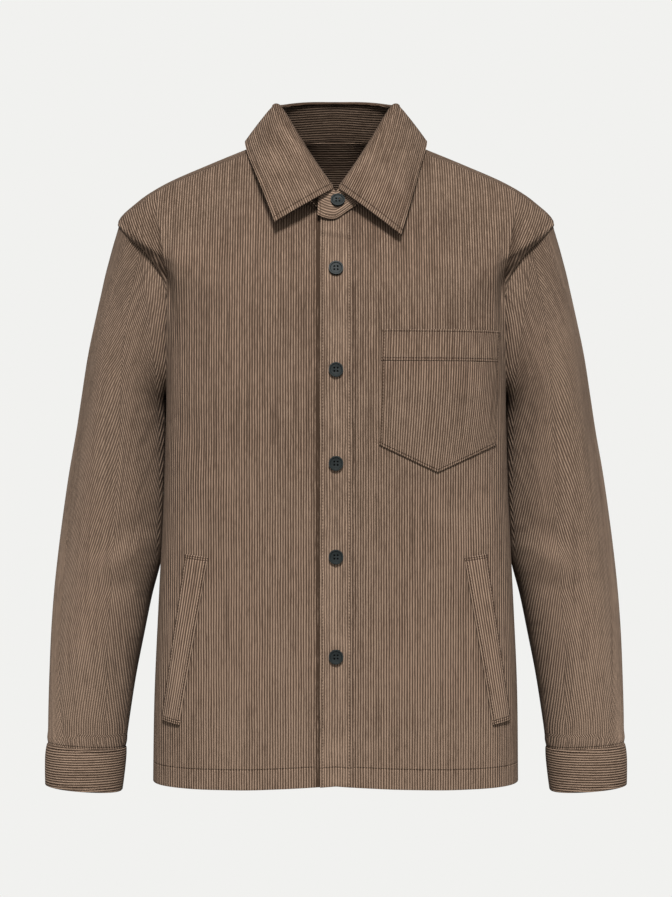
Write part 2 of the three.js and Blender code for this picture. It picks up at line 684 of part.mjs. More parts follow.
function geometryOf(solid) {
  const { vertProperties, triVerts } = solid.getMesh();
  const geometry = new THREE.BufferGeometry();
  geometry.setAttribute('position', new THREE.Float32BufferAttribute(vertProperties, 3));
  geometry.setIndex(new THREE.Uint32BufferAttribute(triVerts, 1));
  geometry.computeVertexNormals();
  return geometry;
}

// A button lies flat with its back at height 0: a disc with a raised round rim and four holes.
function buttonGeometry() {
  const { radius, height, rim, well, holeRadius, holeReach } = BUTTON;
  const profile = [
    [0, 0], [radius - 1.4, 0], [radius, height * 0.42], [radius - 0.5, height * 0.85],
    [radius - rim, height], [radius - 1.7 * rim, height - 0.3], [radius - 2.4 * rim, height - well],
    [0, height - well],
  ].map(([x, y]) => new THREE.Vector2(x, y));
  const disc = new THREE.LatheGeometry(profile, 24).rotateX(Math.PI / 2);
  const drill = new THREE.CylinderGeometry(holeRadius, holeRadius, 2 * height, 8).rotateX(Math.PI / 2);
  let solid = solidOf(disc);
  for (const [x, y] of [[1, 1], [1, -1], [-1, 1], [-1, -1]]) {
    const hole = drill.clone().translate(x * holeReach, y * holeReach, 0);
    solid = solid.subtract(solidOf(hole));
  }
  return geometryOf(solid);
}

// Turns the button's face along a normal and sets its back on a place.
function seatedButton(geometry, place, normal) {
  const turn = new THREE.Quaternion().setFromUnitVectors(UP, normal);
  const seat = moved(place, normal, LAYER_GAP);
  return geometry.clone().applyQuaternion(turn).translate(seat.x, seat.y, seat.z);
}

function placketButton(geometry, height) {
  const { level, angle } = frontPlace(0, height);
  const normal = bodyNormal(level, angle);
  const lift = FRONT_LIFT + LAYER_GAP + PLACKET_CLOTH;
  return seatedButton(geometry, moved(bodyPoint(level, angle), normal, lift), normal);
}

function standButton(geometry) {
  const foot = standPoint(0, 0).z;
  const share = (STAND_BUTTON_HEIGHT - foot) / (standPoint(0, 1).z - foot);
  const normal = standNormal(0, share);
  const seat = moved(standPoint(0, share), normal, STAND_OFFSET.upper + STAND_BUTTON_STANDOFF);
  seat.x += STAND_BUTTON_X;
  return seatedButton(geometry, seat, normal);
}

// ---------------------------------------------------------------- the jacket

const jacket = new THREE.Group();
jacket.add(piece('front_left', frontPanel(1), COLOURS.body));
jacket.add(piece('front_right', frontPanel(-1), COLOURS.body));
jacket.add(piece('back', backPanel(), COLOURS.body));
jacket.add(piece('yoke', yokePanel(), COLOURS.body));

for (const [name, side] of [['left', 1], ['right', -1]]) {
  jacket.add(piece(`sleeve_${name}`, shell(onSide(sleeveGrid(), side), CLOTH, true), COLOURS.sleeve));
  jacket.add(piece(`cuff_${name}`, shell(onSide(cuffGrid(), side), DOUBLE_CLOTH, true), COLOURS.band));
  jacket.add(piece(`welt_${name}`, welt(side), COLOURS.band));
}

jacket.add(piece('collar_stand', shell(standGrid(), DOUBLE_CLOTH), COLOURS.collar));
jacket.add(piece('collar_leaf', shell(leafGrid(), DOUBLE_CLOTH), COLOURS.collar));
jacket.add(piece('placket', placket(), COLOURS.band));
jacket.add(piece('chest_pocket', pocketBody(), COLOURS.band));
jacket.add(piece('chest_pocket_band', pocketBand(), COLOURS.band));

const button = buttonGeometry();
jacket.add(piece('button_1', standButton(button), COLOURS.button, 0.4));
BUTTON_HEIGHTS.forEach((height, index) => {
  jacket.add(piece(`button_${index + 2}`, placketButton(button, height), COLOURS.button, 0.4));
});

export default jacket;
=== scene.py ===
"""Corduroy overshirt jacket, hollow as when it is worn, dressed in wide-wale corduroy.

Metres, +Z up, -Y the front, +X the wearer's left. Tables of the cut are in millimetres.
"""
import logging
import math
from dataclasses import dataclass, field, replace
from enum import Enum

import bpy
import numpy as np
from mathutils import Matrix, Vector


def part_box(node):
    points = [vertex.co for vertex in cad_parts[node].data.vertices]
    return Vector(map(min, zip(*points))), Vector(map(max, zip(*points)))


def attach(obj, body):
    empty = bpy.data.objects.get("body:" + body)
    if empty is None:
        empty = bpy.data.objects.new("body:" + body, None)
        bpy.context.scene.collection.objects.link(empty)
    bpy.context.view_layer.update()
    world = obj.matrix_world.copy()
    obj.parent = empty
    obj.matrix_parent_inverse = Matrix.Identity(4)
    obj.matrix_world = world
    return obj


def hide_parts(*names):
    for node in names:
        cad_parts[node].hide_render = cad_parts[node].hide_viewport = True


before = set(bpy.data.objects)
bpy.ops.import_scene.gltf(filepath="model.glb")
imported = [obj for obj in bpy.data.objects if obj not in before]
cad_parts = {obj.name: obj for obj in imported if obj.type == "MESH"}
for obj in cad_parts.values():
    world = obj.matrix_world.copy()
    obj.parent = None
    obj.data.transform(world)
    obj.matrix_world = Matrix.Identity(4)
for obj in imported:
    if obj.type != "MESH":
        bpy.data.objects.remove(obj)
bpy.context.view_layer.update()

log = logging.getLogger("jacket")
logging.basicConfig(level=logging.INFO, format="%(name)s: %(message)s")

MM = 0.001
ROOT = "root"
SIDES = (("left", 1), ("right", -1))
UP = np.array([0.0, 0.0, 1.0])
Number = float | np.ndarray

# ------------------------------------------------------------------ driving sizes, in millimetres

CLOTH = 1.7
DOUBLE_CLOTH = 2.8
SEAM_GAP = 0.3
LAYER_GAP = 0.35
PATCH_GAP = 0.55
SLEEVE_CLEARANCE = 2.4
BESIDE_BODY_TOP = -152.0  # below this height the sleeve lies beside the body
FRONT_TOP = -86.0  # the highest that the fronts' form reaches at the closing
CLOSING_X = 17.5
PLACKET_CLOTH = 1.5
TRIM_CLOTH = 2.2  # the pocket band and the welts
WELT_WIDTH = 24.5
FRONT_LIFT = 0.7
FRONT_SINK = -1.4
CLOSING_FLAT = 34.0
CLOSING_FADE = 80.0
HEM_DEPTH = 22.0
WALE_PITCH = 2.8
BUTTON_RADIUS = 8.0
BUTTON_COUNT, BUTTON_HOLES = 6, 4

# The body's rings from the hem to the neck seam, as in the cut: the heights at centre front, side and
# centre back, the reach to the side, front and back, the squareness and the saddle of the ring.
RINGS = np.array([
    (-705.5, -712, -713, 206, -127, 124, 3.4, 2),  # 0 hem
    (-610, -614, -614, 204.5, -129, 125, 3.5, 2),  # 1 hip
    (-510, -513, -512, 200, -130, 124, 3.5, 2),  # 2 waist
    (-410, -412, -410, 195, -131, 125, 3.5, 2),  # 3 lower ribs
    (-333, -335, -330, 192.5, -131, 127, 3.5, 2),  # 4 below the arm
    (-283, -278, -268, 191.5, -130, 129, 3.5, 2),  # 5 armpit
    (-238, -215, -203, 193, -127, 129, 3.4, 2),  # 6 chest
    (-203, -152, -146, 197.5, -123, 127, 3.2, 2),  # 7 upper chest
    (-179, -114, -108, 222, -119, 122, 2.8, 2),  # 8 top of the arm
    (-161, -86, -74, 248, -115, 114, 2.4, 2),  # 9 shoulder point
    (-146, -60, -52, 226, -110, 106, 2.3, 1.9),  # 10
    (-133, -38.5, -34, 193, -105, 98, 2.2, 1.8),  # 11
    (-118, -18, -15, 147, -98, 86, 2.1, 1.6),  # 12 mid shoulder
    (-102, -1, 3, 106, -90, 72, 2.05, 1.6),  # 13
    (-85, 10, 18, 78, -80, 60, 2, 1.55),  # 14 neck seam
])
HEM, ARMPIT, UPPER_CHEST, SHOULDER_POINT, NECK = 0.0, 5.0, 7.0, 9.0, 14.0
HEM_DIP, HEM_DIP_FADE = 4.5, 1.4  # the hem hangs lower between the centre and the sides

# The crease beside the armhole, where the chest turns away: its distance from the centre line at heights.
CREASE_HEIGHTS = (-173.0, -155.0, -140.0, -121.5, -100.5, -80.5)
CREASE_REACH = (187.0, 188.8, 190.0, 192.0, 195.0, 200.0)
CREASE_TILT, CREASE_TILT_TOP = 0.42, -62.0  # how the wales lean beyond the crease, and where they begin to
ARMHOLE_BAND = 7.0

# The sleeve's rings from the armhole to the cuff: inner x and z, outer x and z, middle y, half depth
# and squareness. The cuff's follow.
SLEEVE_RINGS = np.array([
    (191.5, -278, 248, -87, 4, 66, 2.4),  # 0 armhole
    (192, -281, 256, -117, 5, 70, 2.3),
    (192, -285, 266, -154, 7, 73, 2.2),
    (192, -290, 275, -196, 9, 75, 2.2),
    (192, -296, 283, -236, 11, 76, 2.2),
    (192, -305, 290, -279, 13, 76, 2.2),  # 5
    (192, -330, 297, -322, 15, 75, 2.2),
    (193, -372, 305, -366, 16, 72, 2.2),
    (195, -418, 312, -412, 17, 69, 2.2),
    (200, -464, 318, -458, 17, 66, 2.2),  # 9 elbow
    (211, -508, 322.5, -502, 15, 62, 2.2),
    (220, -553, 325.5, -547, 12, 58, 2.2),
    (228.5, -598, 327, -592, 8, 53, 2.2),
    (235.5, -645, 328, -640, 4, 47, 2.2),
    (240, -680, 328, -675, 1, 40, 2.2),  # 14 cuff seam
])
CUFF_RINGS = np.array([
    (239.6, -680, 328.6, -675, 1, 40.4, 2.2),
    (241, -696, 330, -690, 1, 40.4, 2.2),
    (244.5, -729, 330.5, -722, 1, 39, 2.2),
])

ARMHOLE_MID, ARMHOLE_HALF, ARMHOLE_STEPS, ARMHOLE_SQUARENESS = 7.0, 2.0, 10.0, 2.5
ARMHOLE_BOTTOM_ANGLE, ARMHOLE_TOP_ANGLE, ARMHOLE_FRONT, ARMHOLE_BACK = 90.0, 80.0, 15.4, 27.0
SHOULDER_SEAM_NECK_ANGLE = 71.0
YOKE_STEP = 6.0

# The sleeve's herringbone: its outer turning line, as distances along and from the sleeve's outside; its
# inner turning line, as heights and distances from the centre line; and how far the middle one is shifted.
CHEVRON_OUTSIDE = np.array([(0, 25), (60, 33), (140, 45), (260, 48), (600, 46)])
CHEVRON_INSIDE = np.array([
    (-686, 230), (-575, 216), (-509, 207), (-400, 200), (-319, 200), (-258, 201), (-219, 205), (-132, 217)])
CHEVRON_SHIFT = 18.0

RIDGE_DYE = (0.1200, 0.0830, 0.0595)
# The grooves' colour is partly the cloth's own and partly painted shade in the grooves between the wales.
GROOVE_DYE_AND_SHADE = (0.0205, 0.0125, 0.0080)
SHALLOW_GROOVE = 0.4  # the grooves' share of the ridges' colour where the contrast is 0
PLAIN_STRIP, PLAIN_MOST, PLAIN_TONE = 22.0, 0.65, 0.6  # the sleeve's outermost strip, where wales fade
BODY_STRIP, BODY_PAINTED_LIGHT = 14.0, 0.25  # the sleeve's strip beside the body, and its painted light
WEAVE_PITCH = 0.9  # of the cloth's plain back

# The nap: how fine each part of it is across, along and through the cloth, and how strong.
WANDER_GRAIN = (75.0, 17.0, 1.0)
FLECK_GRAIN, FLECK_STRENGTH = (430.0, 75.0, 1.0), 2.1
STREAK_GRAIN, STREAK_STRENGTH = (300.0, 9.0, 1.0), 1.8
FUZZ_SCALE, FUZZ_STRENGTH = 1500.0, 0.30
WEAR_SCALE, WEAR_STRENGTH = 16.0, 0.22
CLOUD_SCALE = 42.0
ARMHOLE_RIM_HIGHLIGHT = (1.8, 2.6, 0.35)  # painted highlight on the armhole's rim: its place, half width and strength
# Painted light on the armhole's band.
ARMHOLE_BAND_PAINTED_LIGHT = 0.12
# Painted shade in the crease beside the armhole, fainter on the cloth beyond it, and the heights where it
# fades.
CREASE_WIDTH, CREASE_PAINTED_SHADE, BEYOND_CREASE_PAINTED_SHADE = 10.0, 0.7, 0.08
CREASE_TOP, CREASE_TOP_FADE, CREASE_END, CREASE_END_FADE = 76.0, 35.0, 176.0, 20.0

STAND_TOP = np.array([(-57, 49, 60, 69, -73, 58, 2, 1.05)] * 2)
STAND_SADDLE_BACK = 3.0
STAND_END_X = -20.0
STAND_FOOT_GAP = 0.6
STAND_SAG = 11.0  # how far the upper end hangs
STAND_OFFSETS = (3.8, 0.6, -1.3)  # upper end, around, lower end
LEAF_EDGE = np.array([
    (69, -106, -99),  # the point
    (88, -76, -42),  # front
    (103, -18, 5),  # shoulder
    (97, 34, 12),  # behind
    (62, 70, 13),  # back
    (0, 84, 12),  # centre back
])
LEAF_POINT_SHIFT = (2.0, -7.0)
LEAF_END_X = 3.0
LEAF_BULGE = 5.0
LEAF_SHOULDER = (0.42, 0.22, 0.1)  # where the leaf lies straight over the shoulder, how widely, and its bulge
LEAF_ROLL = 2.5

POCKET = dict(x_in=50.0, x_out=178.0, z_top=-211.0, lean=-3.4, band=34.0, z_side=-336.0, z_tip=-366.0)
WELT_TOP = ((138.5, -458.0), (163.5, -455.0))
WELT_BOTTOM = ((170.5, -642.0), (190.5, -638.5))


# ------------------------------------------------------------------ the forms of the cut

def smooth(value: np.ndarray, low: float, high: float) -> np.ndarray:
    """Return a smooth step from 0 at low to 1 at high."""
    share = np.clip((np.asarray(value, float) - low) / (high - low), 0.0, 1.0)
    return share * share * (3.0 - 2.0 * share)


def lerp(start: Number, end: Number, share: Number) -> Number:
    """Return the value at a share of the way from start to end."""
    return start + (end - start) * share


def signed_power(value: np.ndarray, power: np.ndarray) -> np.ndarray:
    """Return the power of a value's size, with the value's sign."""
    return np.sign(value) * np.abs(value) ** power


def unit(vectors: np.ndarray) -> np.ndarray:
    """Return vectors with a length of 1."""
    return vectors / np.maximum(np.linalg.norm(vectors, axis=-1, keepdims=True), 1e-9)


def run_along(points: np.ndarray, axis: int) -> np.ndarray:
    """Return how far each point lies from the first one along an axis of a grid of points."""
    run = np.cumsum(np.linalg.norm(np.diff(points, axis=axis), axis=-1), axis=axis)
    return np.concatenate([np.zeros_like(np.take(run, [0], axis=axis)), run], axis=axis)


def table_curve(table: np.ndarray, rows: np.ndarray) -> np.ndarray:
    """Read a table at rows that may be fractions.

    Args:
        table: one line per row and one column per size.
        rows: row numbers of any shape.

    Returns:
        The sizes on a smooth curve through the lines, with the columns as the last axis.
    """
    last = len(table) - 1
    low = np.clip(np.floor(rows).astype(int), 0, last - 1)
    t = (rows - low)[..., None]
    before, start, end, after = (table[np.clip(low + shift, 0, last)] for shift in (-1, 0, 1, 2))
    slope_start, slope_end = (end - before) / 2, (after - start) / 2
    bend = 3 * (end - start) - 2 * slope_start - slope_end
    twist = slope_start + slope_end - 2 * (end - start)
    return start + t * (slope_start + t * (bend + t * twist))


def ring_point(sizes: np.ndarray, angle: np.ndarray, saddle_back: float | None = None) -> np.ndarray:
    """Return points of rings at angles in degrees, 0 at the centre front and 90 at the wearer's left side.

    Args:
        sizes: the rings' sizes, as in RINGS.
        angle: the angles.
        saddle_back: the back half's saddle, if it has its own.
    """
    z_front, z_side, z_back, half, y_front, y_back, squareness, saddle = np.moveaxis(sizes, -1, 0)
    sine, cosine = np.sin(np.radians(angle)), np.cos(np.radians(angle))
    power = 2.0 / squareness
    drop = 1.0 - np.abs(sine) ** np.where(cosine > 0, saddle, saddle if saddle_back is None else saddle_back)
    return np.stack([
        half * signed_power(sine, power),
        np.where(cosine > 0, y_front, y_back) * np.abs(cosine) ** power,
        lerp(z_side, np.where(cosine > 0, z_front, z_back), drop),
    ], axis=-1)


def body_point(level: np.ndarray, angle: np.ndarray) -> np.ndarray:
    """Return points of the body's form, in millimetres."""
    level, angle = np.broadcast_arrays(np.asarray(level, float), np.asarray(angle, float))
    sizes = table_curve(RINGS, level)
    place = ring_point(sizes, angle)
    share = np.minimum(np.abs(place[..., 0]) / sizes[..., 3], 1)
    place[..., 2] -= HEM_DIP * 4 * share * (1 - share) * (1 - smooth(level, HEM, HEM_DIP_FADE))
    return place


def body_normal(level: np.ndarray, angle: np.ndarray) -> np.ndarray:
    """Return the directions straight out of the body's form."""
    level = np.asarray(level, float)
    along = body_point(level, angle + 0.8) - body_point(level, angle - 0.8)
    above, below = np.minimum(level + 0.03, NECK), np.maximum(level - 0.03, HEM)
    return unit(np.cross(along, body_point(above, angle) - body_point(below, angle)))


def angle_at_x(level: np.ndarray, x: np.ndarray) -> np.ndarray:
    """Return the angle at which a ring's front passes a distance x from the centre line."""
    sizes = table_curve(RINGS, np.asarray(level, float))
    return np.degrees(np.arcsin(np.clip(signed_power(x / sizes[..., 3], sizes[..., 6] / 2), -1, 1)))


def front_place(x: np.ndarray, z: np.ndarray) -> tuple[np.ndarray, np.ndarray]:
    """Return the level and angle on the body's front at a place of the front view."""
    x, z = np.broadcast_arrays(np.asarray(x, float), np.asarray(z, float))
    low, high = np.full(x.shape, HEM), np.full(x.shape, NECK)
    for _ in range(36):
        middle = (low + high) / 2
        below = body_point(middle, angle_at_x(middle, x))[..., 2] < z
        low, high = np.where(below, middle, low), np.where(below, high, middle)
    return low, angle_at_x(low, x)


def armhole_step(step: np.ndarray) -> tuple[np.ndarray, np.ndarray, np.ndarray]:
    """Return the level and the front and back angles of the armhole, from step 0 at the armpit."""
    turn = np.pi * np.asarray(step, float) / ARMHOLE_STEPS
    power = 2.0 / ARMHOLE_SQUARENESS
    level = ARMHOLE_MID - ARMHOLE_HALF * signed_power(np.cos(turn), power)
    middle = lerp(ARMHOLE_BOTTOM_ANGLE, ARMHOLE_TOP_ANGLE, (level - ARMPIT) / 4)
    width = np.abs(np.sin(turn)) ** power
    return level, middle - ARMHOLE_FRONT * width, middle + ARMHOLE_BACK * width


def shoulder_seam_angle(level: np.ndarray) -> np.ndarray:
    """Return the angle of the shoulder seam at levels above the shoulder point."""
    share = (level - SHOULDER_POINT) / (NECK - SHOULDER_POINT)
    return lerp(ARMHOLE_TOP_ANGLE, SHOULDER_SEAM_NECK_ANGLE, share)


def closing_offset(x: np.ndarray, side: int) -> np.ndarray:
    """Return how far a front stands off the body's form near the closing."""
    strength = 1.0 - smooth(np.abs(x), CLOSING_FLAT, CLOSING_FADE)
    return strength * (FRONT_LIFT if side > 0 else FRONT_SINK)


# ------------------------------------------------------------------ folds

@dataclass(frozen=True)
class Fold:
    """A soft fold: a line in the front or back view, in millimetres.

    A positive depth is a ridge and a negative one a trough.
    """

    start: tuple[float, float]
    end: tuple[float, float]
    width: float
    depth: float

    def offset(self, x: np.ndarray, z: np.ndarray) -> np.ndarray:
        """Return how far the fold moves the cloth out at places of the view."""
        (x0, z0), (x1, z1) = self.start, self.end
        dx, dz = x1 - x0, z1 - z0
        length2 = dx * dx + dz * dz
        share = ((x - x0) * dx + (z - z0) * dz) / length2
        near = np.clip(share, 0, 1)
        distance = np.hypot(x - x0 - near * dx, z - z0 - near * dz)
        fade = 0.35 + 0.65 * np.sin(np.pi * near)
        return self.depth * fade * np.exp(-(distance / self.width) ** 2)


def fold_offset(folds: tuple[Fold, ...], x: np.ndarray, z: np.ndarray) -> np.ndarray:
    """Return the sum of several folds' offsets."""
    return sum((fold.offset(x, z) for fold in folds), np.zeros_like(x))


FRONT_FOLDS = (
    Fold((-188, -100), (-184, -190), 7, -3.0),
    Fold((-176, -95), (-172, -210), 10, 1.6),
    Fold((-150, -60), (-95, -150), 16, -1.3),
    Fold((-120, -55), (-70, -160), 14, 1.0),
    Fold((-60, -115), (-110, -200), 18, -0.9),
    Fold((-175, -300), (-120, -360), 20, -1.0),
    Fold((-170, -350), (-110, -430), 22, 1.0),
    Fold((-90, -260), (-80, -480), 26, -0.9),
    Fold((-130, -520), (-120, -690), 20, -1.1),
    Fold((-95, -560), (-88, -700), 22, 1.2),
    Fold((-55, -500), (-50, -690), 18, -0.9),
    Fold((188, -100), (184, -200), 7, -3.2),
    Fold((176, -95), (172, -215), 10, 1.7),
    Fold((150, -55), (92, -130), 15, -1.4),
    Fold((115, -60), (75, -170), 15, 1.0),
    Fold((45, -130), (100, -205), 16, -0.9),
    Fold((30, -190), (36, -420), 15, -0.8),
    Fold((170, -390), (115, -420), 20, -1.1),
    Fold((175, -430), (100, -490), 22, 1.0),
    Fold((125, -530), (118, -690), 18, -1.1),
    Fold((88, -540), (84, -700), 22, 1.2),
    Fold((48, -520), (46, -690), 16, -0.9),
)
BACK_FOLDS = (
    Fold((-150, -130), (-60, -230), 22, -1.6),
    Fold((150, -130), (70, -240), 24, -1.5),
    Fold((-120, -180), (-40, -330), 26, 1.2),
    Fold((115, -170), (50, -320), 24, 1.2),
    Fold((-165, -300), (-90, -370), 24, -1.4),
    Fold((160, -310), (85, -360), 22, -1.3),
    Fold((-60, -380), (-50, -690), 30, -1.4),
    Fold((70, -400), (62, -700), 28, -1.3),
    Fold((5, -330), (0, -600), 34, 1.2),
    Fold((-140, -430), (-130, -690), 24, 1.2),
    Fold((140, -450), (134, -690), 22, 1.1),
)
# On the wearer's left sleeve, seen from the front, and from behind.
SLEEVE_FRONT_FOLDS = (
    Fold((216, -150), (212, -440), 9, -1.6),
    Fold((228, -140), (226, -470), 11, 1.2),
    Fold((246, -170), (250, -420), 16, -1.6),
    Fold((262, -150), (275, -380), 18, 1.3),
    Fold((214, -420), (262, -452), 11, -2.2),
    Fold((216, -452), (268, -478), 10, 1.8),
    Fold((222, -490), (262, -500), 10, -1.6),
    Fold((238, -540), (258, -660), 14, -1.2),
    Fold((276, -520), (290, -650), 18, 1.1),
    Fold((300, -420), (306, -560), 16, -1.0),
)
SLEEVE_BACK_FOLDS = (
    Fold((220, -170), (226, -400), 14, -2.2),
    Fold((244, -160), (252, -400), 16, 1.6),
    Fold((222, -430), (285, -445), 13, 2.0),
    Fold((220, -455), (280, -475), 12, -2.2),
    Fold((232, -490), (292, -500), 14, 1.6),
    Fold((246, -540), (268, -660), 16, -1.4),
    Fold((284, -530), (296, -655), 16, 1.2),
)


# ------------------------------------------------------------------ shells

class WaleRun(Enum):
    """How the wales lie on a piece."""

    STRAIGHT = "straight"
    TURNED = "turned"  # they change direction at one line
    HERRINGBONE = "herringbone"  # they slant to and fro across the piece


@dataclass
class Grid:
    """A piece of cloth as rows and columns of points, in millimetres.

    Attributes:
        outer: the points of the outer side.
        normal: the directions out of the cloth.
        wales: across and along distances on the cloth, for its wales.
        thickness: of the cloth, one for all or one for each point.
        closed: whether the columns run all round.
        turned: how far each point lies past a line where the wales change direction, if there is one, and
            its distance across the wales beyond that line.
        sewn: each point's distances from a curved sewn edge and along it, if there is one.
    """

    outer: np.ndarray
    normal: np.ndarray
    wales: np.ndarray
    thickness: float | np.ndarray = CLOTH
    closed: bool = False
    turned: np.ndarray | None = None
    sewn: np.ndarray | None = None

    def edge_distances(self) -> tuple[np.ndarray, np.ndarray]:
        """Return each point's distances from the first and last columns, and from the first and last rows."""
        points = np.concatenate([self.outer, self.outer[:, :1]], axis=1) if self.closed else self.outer
        across, along = run_along(points, 1), run_along(points, 0)
        return (np.stack([across, across[:, -1:] - across], axis=-1),
                np.stack([along, along[-1:] - along], axis=-1))

    def mirrored(self) -> "Grid":
        """Return the piece turned about the centre line, for the other side."""
        flip = np.array([-1.0, 1.0, 1.0])
        return replace(self, outer=self.outer * flip, normal=self.normal * flip)


def quads(first: np.ndarray, second: np.ndarray, third: np.ndarray, fourth: np.ndarray) -> np.ndarray:
    """Return faces of four corners from arrays of corner numbers."""
    return np.stack([a.ravel() for a in (first, second, third, fourth)], axis=-1)


def shell_object(name: str, grid: Grid, face: bpy.types.Material, lining: bpy.types.Material,
                 bevel: float = 0.35) -> bpy.types.Object:
    """Make a closed cloth shell from a grid.

    Args:
        name: the piece's name.
        grid: the piece of cloth.
        face: the material of its outer side.
        lining: the material of its inner side.
        bevel: how far its edges are rounded, in millimetres.

    Returns:
        The new object, at the origin, with the maps Wales, Across and Along, and Turned and Sewn where
        the piece has them.
    """
    rows, columns = grid.outer.shape[:2]
    thickness = np.broadcast_to(np.asarray(grid.thickness, float), (rows, columns))
    inner = grid.outer - grid.normal * thickness[..., None]
    vertices = np.concatenate([grid.outer.reshape(-1, 3), inner.reshape(-1, 3)]) * MM
    spans = columns if grid.closed else columns - 1
    map_columns = spans + 1
    row, column = np.meshgrid(np.arange(rows - 1), np.arange(spans), indexing="ij")

    def corner(r: np.ndarray, c: np.ndarray) -> tuple[np.ndarray, np.ndarray]:
        """Return the numbers of a grid corner's vertex and map place."""
        return r * columns + c % columns, r * map_columns + c

    (a, ma), (b, mb) = corner(row, column), corner(row, column + 1)
    (c, mc), (d, md) = corner(row + 1, column + 1), corner(row + 1, column)
    back = rows * columns
    faces = [quads(a, b, c, d), quads(a + back, d + back, c + back, b + back)]
    places = [quads(ma, mb, mc, md), quads(ma, md, mc, mb)]
    ends = [(0, False), (rows - 1, True)]
    for r, last in ends:
        c = np.arange(spans)
        (a, ma), (b, mb) = corner(np.full_like(c, r), c), corner(np.full_like(c, r), c + 1)
        order = (a, b, b + back, a + back) if last else (a, a + back, b + back, b)
        corners = (ma, mb, mb, ma) if last else (ma, ma, mb, mb)
        faces.append(quads(*order))
        places.append(quads(*corners))
    if not grid.closed:
        for c, last in ((0, False), (columns - 1, True)):
            r = np.arange(rows - 1)
            (a, ma), (b, mb) = corner(r, np.full_like(r, c)), corner(r + 1, np.full_like(r, c))
            order = (a, a + back, b + back, b) if last else (a, b, b + back, a + back)
            corners = (ma, ma, mb, mb) if last else (ma, mb, mb, ma)
            faces.append(quads(*order))
            places.append(quads(*corners))
    all_faces, all_places = np.concatenate(faces), np.concatenate(places)
    if shell_volume(vertices, all_faces) < 0:
        all_faces, all_places = all_faces[:, ::-1], all_places[:, ::-1]
    mesh = bpy.data.meshes.new(name)
    mesh.from_pydata(vertices.tolist(), [], all_faces.tolist())
    wales = grid.wales.reshape(-1, 2) * MM
    across, along = grid.edge_distances()
    maps = [("Wales", wales), ("Across", across.reshape(-1, 2) * MM), ("Along", along.reshape(-1, 2) * MM)]
    for map_name, values in (("Turned", grid.turned), ("Sewn", grid.sewn)):
        if values is not None:
            maps.append((map_name, values.reshape(-1, 2) * MM))
    for map_name, values in maps:
        layer = mesh.uv_layers.new(name=map_name)
        layer.data.foreach_set("uv", values[all_places.ravel()].astype(np.float32).ravel())
    mesh.materials.append(face)
    mesh.materials.append(lining)
    back_side = np.zeros(len(all_faces), np.int32)
    back_side[len(faces[0]):2 * len(faces[0])] = 1
    mesh.polygons.foreach_set("material_index", back_side)
    mesh.validate()
    piece = bpy.data.objects.new(name, mesh)
    bpy.context.collection.objects.link(piece)
    finish_edges(piece, bevel)
    return piece


def shell_volume(vertices: np.ndarray, faces: np.ndarray) -> float:
    """Return the signed volume inside faces of four corners."""
    a, b, c, d = (vertices[faces[:, index]] for index in range(4))
    return float((np.cross(a, b) * c).sum() + (np.cross(a, c) * d).sum())


def select_only(piece: bpy.types.Object) -> None:
    """Select one object and make it the active one."""
    bpy.ops.object.select_all(action="DESELECT")
    piece.select_set(True)
    bpy.context.view_layer.objects.active = piece


def finish_edges(piece: bpy.types.Object, bevel: float) -> None:
    """Round a shell's edges and shade it smooth."""
    select_only(piece)
    if bevel > 0:
        rounding = piece.modifiers.new("Edges", "BEVEL")
        rounding.width = bevel * MM
        rounding.segments = 2
        rounding.limit_method = "ANGLE"
        rounding.angle_limit = math.radians(55)
        bpy.ops.object.modifier_apply(modifier="Edges")
    bpy.ops.object.shade_smooth_by_angle(angle=math.radians(75))


# ------------------------------------------------------------------ shader nodes

class Socket:
    """A shader socket whose arithmetic adds Math nodes."""

    def __init__(self, tree: "Shader", link: bpy.types.NodeSocket) -> None:
        """Wrap a socket of a shader."""
        self.tree, self.link = tree, link

    def _math(self, operation: str, *values: "Socket | float") -> "Socket":
        """Return the result of a Math node on values."""
        return self.tree.node("ShaderNodeMath", {"operation": operation}, dict(enumerate(values)))

    def __add__(self, other: "Socket | float") -> "Socket":
        """Add."""
        return self._math("ADD", self, other)

    def __sub__(self, other: "Socket | float") -> "Socket":
        """Subtract."""
        return self._math("SUBTRACT", self, other)

    def __rsub__(self, other: float) -> "Socket":
        """Subtract from a number."""
        return self._math("SUBTRACT", other, self)

    def __mul__(self, other: "Socket | float") -> "Socket":
        """Multiply."""
        return self._math("MULTIPLY", self, other)

    def __truediv__(self, other: "Socket | float") -> "Socket":
        """Divide."""
        return self._math("DIVIDE", self, other)

    def __pow__(self, other: float) -> "Socket":
        """Raise to a power."""
        return self._math("POWER", self, other)

    def size(self) -> "Socket":
        """Return the value without its sign."""
        return self._math("ABSOLUTE", self)

    def cosine(self) -> "Socket":
        """Return the cosine of the value."""
        return self._math("COSINE", self)

    def at_most(self, other: "Socket | float") -> "Socket":
        """Return the lesser of two values."""
        return self._math("MINIMUM", self, other)

    def at_least(self, other: "Socket | float") -> "Socket":
        """Return the greater of two values."""
        return self._math("MAXIMUM", self, other)

    def step(self) -> "Socket":
        """Return 0 below 0 and 1 above it, with a narrow rise."""
        return (self / 0.0005 + 0.5).at_least(0.0).at_most(1.0)

    def band(self, place: float, half_width: float) -> "Socket":
        """Return 1 at a place, falling to 0 at half a width on either side."""
        return (1.0 - (self - place).size() / half_width).at_least(0.0)

    __radd__, __rmul__ = __add__, __mul__


